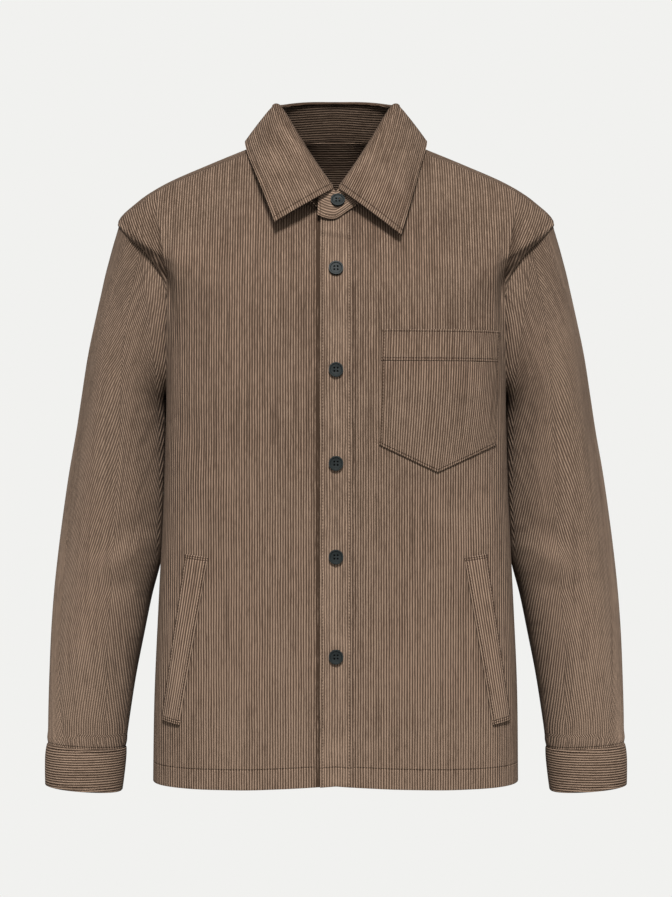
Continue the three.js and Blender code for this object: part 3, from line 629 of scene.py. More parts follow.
class Shader:
    """A material's node tree, written as expressions."""

    def __init__(self, name: str) -> None:
        """Start an empty material."""
        self.material = bpy.data.materials.new(name)
        self.material.use_nodes = True
        self.tree = self.material.node_tree
        self.tree.nodes.clear()

    def node(self, kind: str, settings: dict | None = None, sockets: dict | None = None,
             output: int | str = 0) -> Socket:
        """Add a node.

        Args:
            kind: the node's type.
            settings: its settings, set first.
            sockets: values or links of its inputs, by name or number.
            output: the output that is returned.

        Returns:
            The chosen output.
        """
        node = self.tree.nodes.new(kind)
        for name, value in (settings or {}).items():
            setattr(node, name, value)
        for name, value in (sockets or {}).items():
            if isinstance(value, Socket):
                self.tree.links.new(value.link, node.inputs[name])
            else:
                node.inputs[name].default_value = value
        return Socket(self, node.outputs[output])

    def map(self, name: str) -> tuple[Socket, Socket, Socket]:
        """Return a UV map's vector and its two parts."""
        vector = self.node("ShaderNodeUVMap", {"uv_map": name})
        parts = self.tree.nodes.new("ShaderNodeSeparateXYZ")
        self.tree.links.new(vector.link, parts.inputs[0])
        return vector, Socket(self, parts.outputs[0]), Socket(self, parts.outputs[1])

    def noise(self, vector: Socket, scale: float, detail: float = 2.0, roughness: float = 0.5) -> Socket:
        """Return a noise of about 0 to 1."""
        return self.node("ShaderNodeTexNoise", {}, {
            "Vector": vector, "Scale": scale, "Detail": detail, "Roughness": roughness})

    def stretched(self, vector: Socket, scale: tuple[float, float, float]) -> Socket:
        """Return a vector with its parts scaled."""
        return self.node("ShaderNodeVectorMath", {"operation": "MULTIPLY"}, {0: vector, 1: scale})

    def mix(self, factor: Socket, first: Socket | tuple, second: Socket | tuple) -> Socket:
        """Return a colour between two colours."""
        node = self.tree.nodes.new("ShaderNodeMix")
        node.data_type = "RGBA"
        for index, value in ((0, factor), (6, first), (7, second)):
            if isinstance(value, Socket):
                self.tree.links.new(value.link, node.inputs[index])
            else:
                node.inputs[index].default_value = value
        return Socket(self, node.outputs[2])

    def finish(self, colour: Socket, roughness: Socket | float, height: Socket | None, distance: float,
               strength: float = 1.0, **constants: float | tuple) -> bpy.types.Material:
        """Join the colour, roughness and height to a Principled shader and its output."""
        shader = self.tree.nodes.new("ShaderNodeBsdfPrincipled")
        self.tree.links.new(colour.link, shader.inputs["Base Color"])
        if isinstance(roughness, Socket):
            self.tree.links.new(roughness.link, shader.inputs["Roughness"])
        else:
            shader.inputs["Roughness"].default_value = roughness
        for name, value in constants.items():
            shader.inputs[name.replace("_", " ")].default_value = value
        if height is not None:
            bump = self.tree.nodes.new("ShaderNodeBump")
            bump.inputs["Strength"].default_value = strength
            bump.inputs["Distance"].default_value = distance
            self.tree.links.new(height.link, bump.inputs["Height"])
            self.tree.links.new(bump.outputs[0], shader.inputs["Normal"])
        output = self.tree.nodes.new("ShaderNodeOutputMaterial")
        self.tree.links.new(shader.outputs[0], output.inputs[0])
        return self.material


# ------------------------------------------------------------------ finishes

@dataclass(frozen=True)
class SeamOrShadeLine:
    """A sewn line on a piece, or a wide band of painted shade along one of its edges, with its sizes in
    millimetres.

    Attributes:
        edge_map: the map that measures from the edge it follows.
        part: which of the map's two parts does.
        distance: how far from that edge it lies.
        width: half its width.
        strength: how dark and deep it is.
        stitch: the length of a stitch.
        dash: how much the stitches break the line, 0 for none.
    """

    edge_map: str
    part: int
    distance: float
    width: float = 1.2
    strength: float = 0.75
    stitch: float = 3.4
    dash: float = 0.35


@dataclass(frozen=True)
class ShadeBand:
    """A soft band of painted shadow along an upright line, all in millimetres.

    Attributes:
        place: the line's distance from the centre line, towards the wearer's left.
        width: half the band's width.
        strength: how much darker it is.
    """

    place: float
    width: float
    strength: float


@dataclass(frozen=True)
class Corduroy:
    """Wide-wale corduroy with a soft nap.

    Attributes:
        name: the material's name.
        light: how light the piece is, next to the fronts.
        contrast: how dark the grooves are between the wales, 1 for the fronts'.
        seams_and_shades: the sewn lines that press the cloth down, and the bands of painted shade along edges.
        shadow_bands: soft bands of painted shadow.
        seed: moves the streaks, so that no two pieces match.
        wander: how far the wales stray from their lines, in wales.
        blotches: how much the nap varies in patches.
        run: how the wales lie on the piece.
        fade: how much the colour lightens downwards and darkens upwards, a painted shade.
        pitch: the distance between two wales, in millimetres.
    """

    name: str
    light: float = 1.0
    contrast: float = 1.0
    seams_and_shades: tuple[SeamOrShadeLine, ...] = ()
    shadow_bands: tuple[ShadeBand, ...] = ()
    seed: float = 0.0
    wander: float = 0.5
    blotches: float = 0.15
    run: WaleRun = WaleRun.STRAIGHT
    fade: float = 0.85
    pitch: float = WALE_PITCH

    def material(self) -> bpy.types.Material:
        """Return the material."""
        s = Shader(self.name)
        vector, across, along = s.map("Wales")
        if self.run is WaleRun.TURNED:
            _, past, beyond = s.map("Turned")
            across = across + past.step() * (beyond - across)
        if self.run is WaleRun.HERRINGBONE:
            _, from_outside, from_inside = s.map("Turned")
            half = self.pitch * MM / 2
            first, second = from_outside.size() + from_outside.step() * half, from_inside.size()
            second = second + from_inside.step() * half
            chosen = (from_outside.size() - from_inside.size() - CHEVRON_SHIFT * MM).step()
            across = across + first + chosen * (second - first + half)
            plain = (from_outside / (-PLAIN_STRIP * MM)).at_least(0.0).at_most(PLAIN_MOST)
            near_body = (from_inside / (-BODY_STRIP * MM)).at_least(0.0).at_most(1.0)
            vector = s.node("ShaderNodeCombineXYZ", {}, {0: from_outside, 1: along})
        moved = s.node("ShaderNodeVectorMath", {"operation": "ADD"}, {0: vector, 1: (0.0, 0.0, self.seed)})
        wander = s.noise(s.stretched(moved, WANDER_GRAIN), 1.0, 2.0)
        phase = (across / (self.pitch * MM) + (wander - 0.5) * self.wander) * (2 * math.pi)
        wave = phase.cosine() * 0.5 + 0.5
        ridge = wave ** 1.15
        if self.run is WaleRun.HERRINGBONE:
            ridge = ridge + plain * (PLAIN_TONE - ridge)
        flecks = s.noise(s.stretched(moved, FLECK_GRAIN), 1.0, 3.0, 0.65)
        streaks = s.noise(s.stretched(moved, STREAK_GRAIN), 1.0, 2.0, 0.5)
        fuzz = s.noise(moved, FUZZ_SCALE, 2.0, 0.6)
        wear = s.noise(moved, WEAR_SCALE, 3.0, 0.55)
        clouds = s.noise(s.stretched(moved, (1.0, 0.6, 1.0)), CLOUD_SCALE, 2.0, 0.5)
        # The mask holds the sewn lines and also the bands of painted shade and shadow.
        seam = self.seam_and_shade_mask(s)
        tone = ridge * ((flecks - 0.5) * FLECK_STRENGTH + 1.0) * ((streaks - 0.5) * STREAK_STRENGTH + 1.0)
        tone = tone + (fuzz - 0.5) * FUZZ_STRENGTH + (wear - 0.5) * WEAR_STRENGTH
        tone = tone + (clouds - 0.5) * self.blotches
        place = s.node("ShaderNodeSeparateXYZ", {}, {0: s.node("ShaderNodeTexCoord", output="Object")}, 2)
        # Painted shade: the colour darkens towards the top and lightens towards the bottom, by the fade.
        tone = tone * (((place * -1.0 - 0.05) * self.fade).at_most(self.fade * 0.6) + (1.0 - self.fade * 0.3))
        if self.run is WaleRun.HERRINGBONE:
            # Painted light on the sleeve's strip beside the body, lifting the shade there.
            tone = tone * (near_body * BODY_PAINTED_LIGHT + 1.0)
        if self.run is WaleRun.TURNED:
            from_armhole = s.map("Sewn")[1]
            # Painted highlight on the armhole's rolled rim.
            rim, rim_width, rim_highlight = ARMHOLE_RIM_HIGHLIGHT
            tone = tone + from_armhole.band(rim * MM, rim_width * MM) * rim_highlight
            # Painted light on the armhole's band.
            off_band = (from_armhole - ARMHOLE_BAND * MM).step()
            tone = tone + (1.0 - off_band) * ARMHOLE_BAND_PAINTED_LIGHT
            # Painted shade in the crease beside the armhole, and fainter on all the cloth beyond it.
            inside = (1.0 - past / (CREASE_WIDTH * MM)).at_least(0.0).at_most(1.0) * past.step() * off_band
            ends = ((place * -1.0 - CREASE_TOP * MM) / (CREASE_TOP_FADE * MM)).at_least(0.0).at_most(1.0)
            low_end = ((place + CREASE_END * MM) / (CREASE_END_FADE * MM)).at_least(0.0).at_most(1.0)
            ends = ends * low_end
            tone = tone * (1.0 - inside * ends * CREASE_PAINTED_SHADE)
            tone = tone * (1.0 - past.step() * ends * BEYOND_CREASE_PAINTED_SHADE)
        tone = (tone - seam * 0.75).at_least(0.0).at_most(1.3)
        ridge_colour = tuple(self.light * part for part in RIDGE_DYE)
        groove_colour = tuple(lerp(SHALLOW_GROOVE * high, self.light * low, self.contrast)
                              for high, low in zip(ridge_colour, GROOVE_DYE_AND_SHADE))
        colour = s.mix(tone, (*groove_colour, 1.0), (*ridge_colour, 1.0))
        height = ridge * 0.8 + (fuzz - 0.5) * 0.2 + (flecks - 0.5) * 0.25 - seam * 1.3
        return s.finish(colour, 0.95, height, 0.0011, 0.9, Sheen_Weight=0.012, Sheen_Roughness=0.5,
                        Sheen_Tint=(0.95, 0.80, 0.70, 1.0), Specular_IOR_Level=0.03)

    def seam_and_shade_mask(self, s: Shader) -> Socket:
        """Return 1 along the sewn lines and the painted shade and shadow bands, 0 elsewhere, with the
        stitches' dashes.
        """
        total = s.node("ShaderNodeValue")
        total.link.default_value = 0.0
        for line in self.seams_and_shades:
            parts = s.map(line.edge_map)[1:]
            other = s.map("Along" if line.edge_map == "Across" else "Across")[1]
            band = parts[line.part].band(line.distance * MM, line.width * MM) * line.strength
            if line.dash:
                dashes = (other / (line.stitch * MM) * (2 * math.pi)).cosine()
                band = band * (dashes * line.dash + (1.0 - line.dash))
            total = total.at_least(band)
        if self.shadow_bands:
            place = s.node("ShaderNodeTexCoord", output="Object")
            parts = s.node("ShaderNodeSeparateXYZ", {}, {0: place})
            for band in self.shadow_bands:
                soft = parts.band(band.place * MM, band.width * MM)
                total = total.at_least(soft * soft * band.strength)
        return total


@dataclass(frozen=True)
class ClothBack:
    """The plain woven back of corduroy, a little duller than its face."""

    name: str = "cloth_back"
    colour: tuple[float, float, float] = (0.045, 0.031, 0.022)

    def material(self) -> bpy.types.Material:
        """Return the material."""
        s = Shader(self.name)
        vector, across, along = s.map("Wales")
        warp = (across / (WEAVE_PITCH * MM) * (2 * math.pi)).cosine() * 0.5 + 0.5
        weft = (along / (WEAVE_PITCH * MM) * (2 * math.pi)).cosine() * 0.5 + 0.5
        blotches = s.noise(vector, 40.0, 3.0)
        weave = warp * weft
        dark = tuple(0.55 * part for part in self.colour)
        colour = s.mix(weave * 0.6 + blotches * 0.4, (*dark, 1.0), (*self.colour, 1.0))
        return s.finish(colour, 0.95, weave, 0.0002, 0.5, Specular_IOR_Level=0.15)


@dataclass(frozen=True)
class Thread:
    """Black cotton thread, which fills the buttons' holes."""

    name: str = "sewing_thread"
    colour: tuple[float, float, float] = (0.0012, 0.0014, 0.0014)

    def material(self) -> bpy.types.Material:
        """Return the material."""
        s = Shader(self.name)
        place = s.node("ShaderNodeTexCoord", output="Object")
        twist = s.noise(place, 2600.0, 1.0)
        light = tuple(1.35 * part for part in self.colour)
        dark = tuple(0.65 * part for part in self.colour)
        colour = s.mix(twist, (*dark, 1.0), (*light, 1.0))
        return s.finish(colour, 0.9, twist, 0.0002, 0.5, Specular_IOR_Level=0.02)


@dataclass(frozen=True)
class Horn:
    """Dark horn-like resin of the buttons, with a faint cloud and a satin shine."""

    name: str = "button_resin"
    dark: tuple[float, float, float] = (0.0025, 0.0036, 0.0036)
    light: tuple[float, float, float] = (0.0068, 0.0090, 0.0090)

    def material(self) -> bpy.types.Material:
        """Return the material."""
        s = Shader(self.name)
        place = s.node("ShaderNodeTexCoord", output="Object")
        clouds = s.noise(s.stretched(place, (1.0, 1.0, 2.2)), 160.0, 4.0, 0.6)
        specks = s.noise(place, 1900.0, 2.0)
        colour = s.mix(clouds, (*self.dark, 1.0), (*self.light, 1.0))
        rough = clouds * 0.15 + specks * 0.12 + 0.42
        return s.finish(colour, rough, specks, 0.00005, 0.4, Specular_IOR_Level=0.08)


def hand_over(piece: bpy.types.Object, slot: str, *nodes: str) -> None:
    """Say what a finished piece rides on and what it replaces; its slot is not used."""
    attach(piece, ROOT)
    if nodes:
        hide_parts(*nodes)
    log.info("%s: %d faces", piece.name, len(piece.data.polygons))


# ------------------------------------------------------------------ the body

@dataclass
class Body:
    """The two fronts, the back and the yoke.

    Attributes:
        columns: grid columns across a front.
        back_columns: grid columns across the back.
        low_rows: rows below the armpit.
        arm_rows: rows along the armhole.
        top_rows: rows above the shoulder point.
    """

    columns: int = 96
    back_columns: int = 140
    low_rows: int = 84
    arm_rows: int = 40
    top_rows: int = 30

    def steps(self, first: float, last: float, count: int) -> list[float]:
        """Return evenly spaced values with both ends."""
        return list(np.linspace(first, last, count + 1))

    def wale_places(self, levels: np.ndarray, angles: np.ndarray, points: np.ndarray) -> np.ndarray:
        """Return the across and along distances on upright cloth, for rows of points."""
        share = np.linspace(0.0, 1.0, 361)
        turn = 90 * share ** 1.75 / (share ** 1.75 + (1 - share) ** 1.75)
        places = np.empty(points.shape[:2] + (2,))
        for index, level in enumerate(levels):
            step = np.diff(body_point(np.full_like(turn, level), turn), axis=0)
            depth = np.abs(body_point(np.full_like(turn, level), turn)[1:, 1])
            below_shoulder = 1.0 - smooth(level, ARMPIT, SHOULDER_POINT)
            depth_weight = lerp(0.6, 0.1, smooth(depth, 35, 90)) * below_shoulder
            run = np.cumsum(np.sqrt(step[:, 0] ** 2 + depth_weight * step[:, 1] ** 2))
            run = np.concatenate([[0.0], run])
            places[index, :, 0] = np.sign(angles[index]) * np.interp(np.abs(angles[index]), turn, run)
        places[..., 1] = points[..., 2] - 0.6 * np.abs(points[..., 1])
        return places

    def spread(self, level: float, start: float, end: float, count: int) -> np.ndarray:
        """Return angles that are evenly spaced along a ring."""
        turn = np.linspace(start, end, 361)
        ring = body_point(np.full_like(turn, level), turn)
        run = run_along(ring, 0)
        return np.interp(np.linspace(0, run[-1], count + 1), run, turn)

    def shoulder_rows(self) -> list[tuple[float, float]]:
        """Return the levels above the shoulder point, with the shoulder seam's angle at each."""
        return [(level, float(shoulder_seam_angle(level)))
                for level in self.steps(SHOULDER_POINT, NECK, self.top_rows)]

    def front(self, side: int) -> Grid:
        """Return a front's grid, on the side of the sign."""
        rows = [(level, 90.0) for level in self.steps(HEM, ARMPIT, self.low_rows)[:-1]]
        for step in self.steps(0, ARMHOLE_STEPS, self.arm_rows)[:-1]:
            level, front_angle, _ = armhole_step(step)
            rows.append((float(level), float(front_angle)))
        rows += self.shoulder_rows()
        levels = np.array([level for level, _ in rows])
        angles = np.stack([
            self.spread(level, float(angle_at_x(level, -CLOSING_X)), edge, self.columns)
            for level, edge in rows])
        form = body_point(levels[:, None], angles)
        wales = self.wale_places(levels, angles, form)
        normal = body_normal(levels[:, None], angles)
        offset = closing_offset(form[..., 0], side) + self.front_relief(levels, angles, form, side)
        outer = form + normal * offset[..., None]
        thickness = self.hem_thickness(outer)
        drop = 8 * np.logaddexp(0, (CREASE_TILT_TOP - form[..., 2]) / 8)
        turned = np.stack([self.past_crease(form), wales[..., 0] + CREASE_TILT * drop], axis=-1)
        sewn = np.stack([self.from_armhole(form), form[..., 2]], axis=-1)
        grid = Grid(outer, normal, wales, thickness, turned=turned, sewn=sewn)
        pull_edges(grid, last_column=SEAM_GAP / 2)
        return grid if side > 0 else grid.mirrored()

    def front_relief(self, levels: np.ndarray, angles: np.ndarray, form: np.ndarray,
                     side: int) -> np.ndarray:
        """Return the relief of a front: folds that fade at its edges, the crease and the armhole's band."""
        x, z = form[..., 0] * side, form[..., 2]
        relief = fold_offset(FRONT_FOLDS, x, z)
        share = np.linspace(0, 1, angles.shape[1])[None, :]
        fade = smooth(share, 0.08, 0.22) * (1.0 - smooth(share, 0.97, 1.0))
        relief = relief * fade * smooth(NECK - levels[:, None], 0.2, 1.4) + self.hem_ripple(x, z)
        from_seam = edge_run(form)
        from_armhole = self.from_armhole(form)
        beside = smooth(levels, ARMPIT + 0.1, ARMPIT + 0.6)[:, None]
        band = (1.0 - smooth(from_armhole, ARMHOLE_BAND - 1.0, ARMHOLE_BAND + 0.6)) * beside
        past = self.past_crease(form)
        hollow = (smooth(past, -1, 4) - smooth(past, 7, 30)) * smooth(from_seam, 2, 16) * smooth(-z, 74, 112)
        clear = smooth(from_armhole, ARMHOLE_BAND, ARMHOLE_BAND + 12)
        return relief - (2.4 if side < 0 else 2.0) * hollow * clear + 0.9 * band

    def from_armhole(self, form: np.ndarray) -> np.ndarray:
        """Return the distances of places from the armhole's front edge, as far as 90 mm."""
        level, front_angle, _ = armhole_step(np.linspace(0, ARMHOLE_STEPS, 160))
        edge = body_point(level, front_angle)
        distance = np.full(form.shape[:2], 90.0)
        near = (np.abs(form[..., 0]) > 120) & (form[..., 2] > -380)
        distance[near] = np.linalg.norm(form[near][:, None] - edge[None], axis=-1).min(-1)
        return distance

    def past_crease(self, form: np.ndarray) -> np.ndarray:
        """Return how far places lie past the crease beside the armhole; below 0 is towards the centre."""
        x, z = np.abs(form[..., 0]), form[..., 2]
        past = x - np.interp(z, CREASE_HEIGHTS, CREASE_REACH)
        return np.minimum(past, (z + CREASE_END) * 0.5)

    def hem_ripple(self, x: np.ndarray, z: np.ndarray) -> np.ndarray:
        """Return the slight wave of the hem's edge."""
        near = smooth(-z, 560, 712)
        wave = 0.9 * np.sin(x / 19.0 + 1.3) + 0.6 * np.sin(x / 8.6 + 0.4)
        return near * wave * 0.55

    def hem_thickness(self, outer: np.ndarray) -> np.ndarray:
        """Return the cloth's thickness, doubled where the hem is turned up."""
        run = run_along(outer, 0)
        return CLOTH + 1.3 * (1.0 - smooth(run, HEM_DEPTH, HEM_DEPTH + 3))

    def back_part(self, rows: list[tuple[float, float]],
                  columns: int) -> tuple[np.ndarray, np.ndarray, np.ndarray]:
        """Return levels, angles and form of rows that run across the back."""
        levels = np.array([level for level, _ in rows])
        angles = np.stack([self.spread(level, edge, 360 - edge, columns) for level, edge in rows])
        return levels, angles, body_point(levels[:, None], angles)

    def back(self) -> Grid:
        """Return the back's grid, from the hem to the yoke seam."""
        rows = [(level, 90.0) for level in self.steps(HEM, ARMPIT, self.low_rows)[:-1]]
        for step in self.steps(0, YOKE_STEP, int(self.arm_rows * YOKE_STEP / ARMHOLE_STEPS)):
            level, _, back_angle = armhole_step(step)
            rows.append((float(level), float(back_angle)))
        levels, angles, form = self.back_part(rows, self.back_columns)
        half = self.back_columns // 2 + 1
        left = self.wale_places(levels, 180.0 - angles[:, :half][:, ::-1], form[:, :half])
        across = np.concatenate([-left[:, ::-1, 0], left[:, 1:, 0]], axis=1)
        wales = np.stack([across, form[..., 2]], axis=-1)
        normal = body_normal(levels[:, None], angles)
        share = np.linspace(0, 1, angles.shape[1])[None, :]
        fade = smooth(share, 0.0, 0.05) * (1 - smooth(share, 0.95, 1.0))
        fade = fade * (1 - smooth(levels, levels[-1] - 0.7, levels[-1]))[:, None]
        relief = fold_offset(BACK_FOLDS, form[..., 0], form[..., 2]) * fade
        outer = form + normal * (relief + self.hem_ripple(form[..., 0], form[..., 2]))[..., None]
        grid = Grid(outer, normal, wales, self.hem_thickness(outer))
        pull_edges(grid, last_row=SEAM_GAP / 2, first_column=SEAM_GAP / 2, last_column=SEAM_GAP / 2)
        return grid

    def yoke(self) -> Grid:
        """Return the yoke's grid, over both shoulders and across the upper back."""
        rows = []
        count = int(self.arm_rows * (1 - YOKE_STEP / ARMHOLE_STEPS))
        for step in self.steps(YOKE_STEP, ARMHOLE_STEPS, count)[:-1]:
            level, _, back_angle = armhole_step(step)
            rows.append((float(level), float(back_angle)))
        rows += self.shoulder_rows()
        levels, angles, form = self.back_part(rows, self.back_columns)
        ridge = 12 + 0.45 * (78 - np.minimum(np.abs(form[..., 0]), 248))
        across = np.sign(form[..., 1]) * np.hypot(form[..., 1], form[..., 2] - ridge)
        across = lerp(across, 75 - 1.15 * form[..., 2], smooth(form[..., 1], 25, 62))
        wales = np.stack([across, form[..., 0]], axis=-1)
        normal = body_normal(levels[:, None], angles)
        grid = Grid(form, normal, wales, CLOTH)
        pull_edges(grid, first_row=SEAM_GAP / 2, first_column=SEAM_GAP / 2, last_column=SEAM_GAP / 2)
        return grid

    def build(self, back_cloth: bpy.types.Material) -> None:
        """Build and dress the four panels."""
        hem = SeamOrShadeLine("Along", 0, HEM_DEPTH)
        armhole = (SeamOrShadeLine("Sewn", 0, ARMHOLE_BAND, 0.9, 0.15, dash=0.15),
                   SeamOrShadeLine("Along", 1, 4.5, 1.0, 0.5))
        for name, side in SIDES:
            # Painted shadow beside the placket's edges: strong on the right front, where the overlapping edge
            # stands proud, faint on the left.
            beside = ShadeBand(-19.5, 6.0, 1.3) if side < 0 else ShadeBand(19.5, 3.0, 0.4)
            cloth = Corduroy(f"front_{name}_corduroy", seams_and_shades=(*armhole, hem), shadow_bands=(beside,),
                             seed=side + 2.0, run=WaleRun.TURNED)
            panel = shell_object(f"front_{name}_cloth", self.front(side), cloth.material(), back_cloth)
            hand_over(panel, "body_corduroy", f"front_{name}")
        sides = tuple(SeamOrShadeLine("Across", part, place) for part in (0, 1) for place in (1.2, 8.0))
        cloth = Corduroy("back_corduroy", seams_and_shades=(*sides, SeamOrShadeLine("Along", 1, 1.5), hem), seed=5.0)
        back = shell_object("back_cloth", self.back(), cloth.material(), back_cloth)
        hand_over(back, "body_corduroy", "back")
        sides = tuple(SeamOrShadeLine("Across", part, place) for part in (0, 1) for place in (1.5, 7.5))
        cloth = Corduroy("yoke_corduroy", 0.92, seams_and_shades=(*sides, SeamOrShadeLine("Along", 0, 2.0)), seed=6.0)
        # The yoke's inner face is a darker copy of the cloth: painted shade inside the jacket.
        inside = Corduroy("yoke_inside_shaded_corduroy", 0.78, seed=7.0)
        yoke = shell_object("yoke_cloth", self.yoke(), cloth.material(), inside.material())
        hand_over(yoke, "body_corduroy", "yoke")


def edge_run(form: np.ndarray) -> np.ndarray:
    """Return the distances of a grid's points from its last column, along the rows."""
    run = run_along(form, 1)
    return run[:, -1:] - run


def pull_edges(grid: Grid, first_row: float = 0, last_row: float = 0, first_column: float = 0,
               last_column: float = 0) -> None:
    """Draw a grid's edges in by distances in millimetres, towards the next line, for the seam's space."""
    outer = grid.outer
    for distance, edge, inside in (
            (first_row, (0,), (1,)), (last_row, (-1,), (-2,)),
            (first_column, (slice(None), 0), (slice(None), 1)),
            (last_column, (slice(None), -1), (slice(None), -2))):
        if distance:
            outer[edge] = outer[edge] + unit(outer[inside] - outer[edge]) * distance


# ------------------------------------------------------------------ the sleeves

@dataclass
class Sleeves:
    """The two sleeves with their cuffs."""

    turns: int = 104
    rows: int = 150
    cuff_rows: int = 22
    chevron_slant: float = 0.24

    def ring_point(self, table: np.ndarray, row: np.ndarray, turn: np.ndarray) -> np.ndarray:
        """Return points of a sleeve's rings. A turn of 0 is at the armpit, 90 at the front, 180 outside."""
        row, turn = np.broadcast_arrays(np.asarray(row, float), np.asarray(turn, float))
        x_in, z_in, x_out, z_out, middle, half, squareness = np.moveaxis(table_curve(table, row), -1, 0)
        power = 2.0 / squareness
        across = (1 - signed_power(np.cos(np.radians(turn)), power)) / 2
        depth = signed_power(np.sin(np.radians(turn)), power)
        x, z = lerp(x_in, x_out, across), lerp(z_in, z_out, across)
        return np.stack([x, middle - half * depth, z], axis=-1)

    def body_reach(self, y: np.ndarray, z: np.ndarray) -> np.ndarray:
        """Return how far the body reaches to the side at depths and heights."""
        low, high = np.full(y.shape, HEM), np.full(y.shape, UPPER_CHEST)
        for _ in range(30):
            middle = (low + high) / 2
            below = table_curve(RINGS, middle)[..., 1] < z
            low, high = np.where(below, middle, low), np.where(below, high, middle)
        sizes = table_curve(RINGS, low)
        share = np.clip(np.abs(y / np.where(y < 0, sizes[..., 4], sizes[..., 5])), 0, 1)
        return sizes[..., 3] * (1 - share ** sizes[..., 6]) ** (1 / sizes[..., 6])

    def armhole(self, turn: np.ndarray) -> tuple[np.ndarray, np.ndarray, np.ndarray]:
        """Return the armhole's edge at turns, the body's normal there, and the way into the opening."""
        front = turn <= 180

        def at(value: np.ndarray) -> tuple[np.ndarray, np.ndarray]:
            """Return the level and angle of the edge at a turn."""
            step = ARMHOLE_STEPS * np.clip(np.where(front, value, 360 - value), 0, 180) / 180
            level, front_angle, back_angle = armhole_step(step)
            return level, np.where(front, front_angle, back_angle)

        level, angle = at(turn)
        below = np.where(front, np.maximum(turn - 2, 0), np.minimum(turn + 2, 360))
        above = np.where(front, np.minimum(turn + 2, 180), np.maximum(turn - 2, 180))
        edge, normal = body_point(level, angle), body_normal(level, angle)
        along = unit(body_point(*at(above)) - body_point(*at(below)))
        inwards = unit(np.cross(along, normal)) * np.where(front, 1.0, -1.0)[..., None]
        return edge, normal, inwards

    def surface(self, row: np.ndarray, turn: np.ndarray) -> np.ndarray:
        """Return points of the sleeve's smooth form."""
        row, turn = np.broadcast_arrays(np.asarray(row, float), np.mod(np.asarray(turn, float), 360))
        form = self.ring_point(SLEEVE_RINGS, row, turn).copy()
        share = (1 - smooth(row, 0, 5)) ** 1.5
        edge, _, _ = self.armhole(turn)
        start = self.ring_point(SLEEVE_RINGS, np.zeros_like(row), turn)
        form += (edge - start) * share[..., None]
        beside = form[..., 2] < BESIDE_BODY_TOP
        reach = self.body_reach(form[..., 1], form[..., 2]) + SLEEVE_CLEARANCE * smooth(row, 0, 1)
        form[..., 0] = np.where(beside, np.maximum(form[..., 0], reach), form[..., 0])
        return form

    def normals(self, row: np.ndarray, turn: np.ndarray) -> np.ndarray:
        """Return directions out of the sleeve."""
        last = len(SLEEVE_RINGS) - 1
        around = self.surface(row, turn + 4) - self.surface(row, turn - 4)
        after, before = np.minimum(row + 0.25, last), np.maximum(row - 0.25, 0)
        return unit(np.cross(self.surface(after, turn) - self.surface(before, turn), around))

    def relief(self, form: np.ndarray, row: np.ndarray) -> np.ndarray:
        """Return the sleeve's folds, which fade at its ends and where it lies on the body."""
        x, y, z = np.moveaxis(form, -1, 0)
        front = smooth(-(y - 12), 5, 30)
        back = smooth(y - 12, 5, 30)
        folds = fold_offset(SLEEVE_FRONT_FOLDS, x, z) * front + fold_offset(SLEEVE_BACK_FOLDS, x, z) * back
        clear = smooth(x - self.body_reach(y, z), 3, 14)
        ends = smooth(row, 0.2, 1.2) * (1 - smooth(row, 12.8, 14))
        return folds * ends * np.where(z < BESIDE_BODY_TOP, clear, 1.0)

    def sleeve(self) -> Grid:
        """Return the wearer's left sleeve's grid."""
        last = len(SLEEVE_RINGS) - 1
        rows = np.concatenate([np.linspace(0, 1, 12)[:-1], np.linspace(1, last, self.rows - 11)])
        turn = np.arange(self.turns) * 360.0 / self.turns
        row_grid, turn_grid = np.meshgrid(rows, turn, indexing="ij")
        form, normal = self.surface(row_grid, turn_grid), self.normals(row_grid, turn_grid)
        _, body_side, inwards = self.armhole(turn)
        first = normal[0]
        fold = np.clip(-(first * inwards).sum(-1), 0, 1)[:, None]
        spread = np.maximum((first * inwards).sum(-1), 0)[:, None]
        form[0] += inwards * SEAM_GAP + body_side * fold
        normal[0] = unit(first - inwards * spread)
        outer = form + normal * self.relief(form, row_grid)[..., None]
        outer -= normal * (1.3 * (1 - smooth(row_grid, 0.1, 1.2)) * smooth(turn_grid, 40, 80))[..., None]
        gather = 1.0 * np.sin(turn_grid * 0.5) ** 2 * np.exp(-((row_grid - 13.72) / 0.16) ** 2)
        outer += normal * gather[..., None]
        wales, turned = self.herringbone(outer)
        return Grid(outer, normal, wales, CLOTH, closed=True, turned=turned)

    def herringbone(self, outer: np.ndarray) -> tuple[np.ndarray, np.ndarray]:
        """Return the wales' places, and their distances from the two lines where they turn."""
        middle = self.turns // 2
        ring = np.concatenate([outer, outer[:, :1]], axis=1)
        from_outside, along = self.line_distance(ring, outer[:, middle])
        bend = np.interp(along, (0, 200, 400, 600), (60, 60, 56, 45))
        curved = 2 * bend * np.arcsin(np.minimum(from_outside / (2 * bend), 0.97))
        from_outside = curved - np.interp(along, *CHEVRON_OUTSIDE.T)
        from_inside = ring[..., 0] - np.interp(ring[..., 2], *CHEVRON_INSIDE.T)
        run = run_along(ring, 1)
        hidden = self.turns // 16
        for columns, border in ((slice(0, hidden), hidden), (slice(-hidden, None), -hidden - 1)):
            from_inside[:, columns] = from_inside[:, [border]] - np.abs(run[:, columns] - run[:, [border]])
        wales = np.stack([along * self.chevron_slant, along], axis=-1)
        return wales, np.stack([from_outside, from_inside], axis=-1)

    def line_distance(self, places: np.ndarray, line: np.ndarray) -> tuple[np.ndarray, np.ndarray]:
        """Return the distances of places from a line, and how far along it they are."""
        length = run_along(line, 0)
        even = np.linspace(0, length[-1], 300)
        line = np.stack([np.interp(even, length, part) for part in line.T], axis=-1)
        heading = unit(np.gradient(line, axis=0))
        nearest = ((places[:, :, None, :] - line[None, None]) ** 2).sum(-1).argmin(-1)
        apart, way = places - line[nearest], heading[nearest]
        along = (apart * way).sum(-1)
        return np.linalg.norm(apart - way * along[..., None], axis=-1), even[nearest] + along

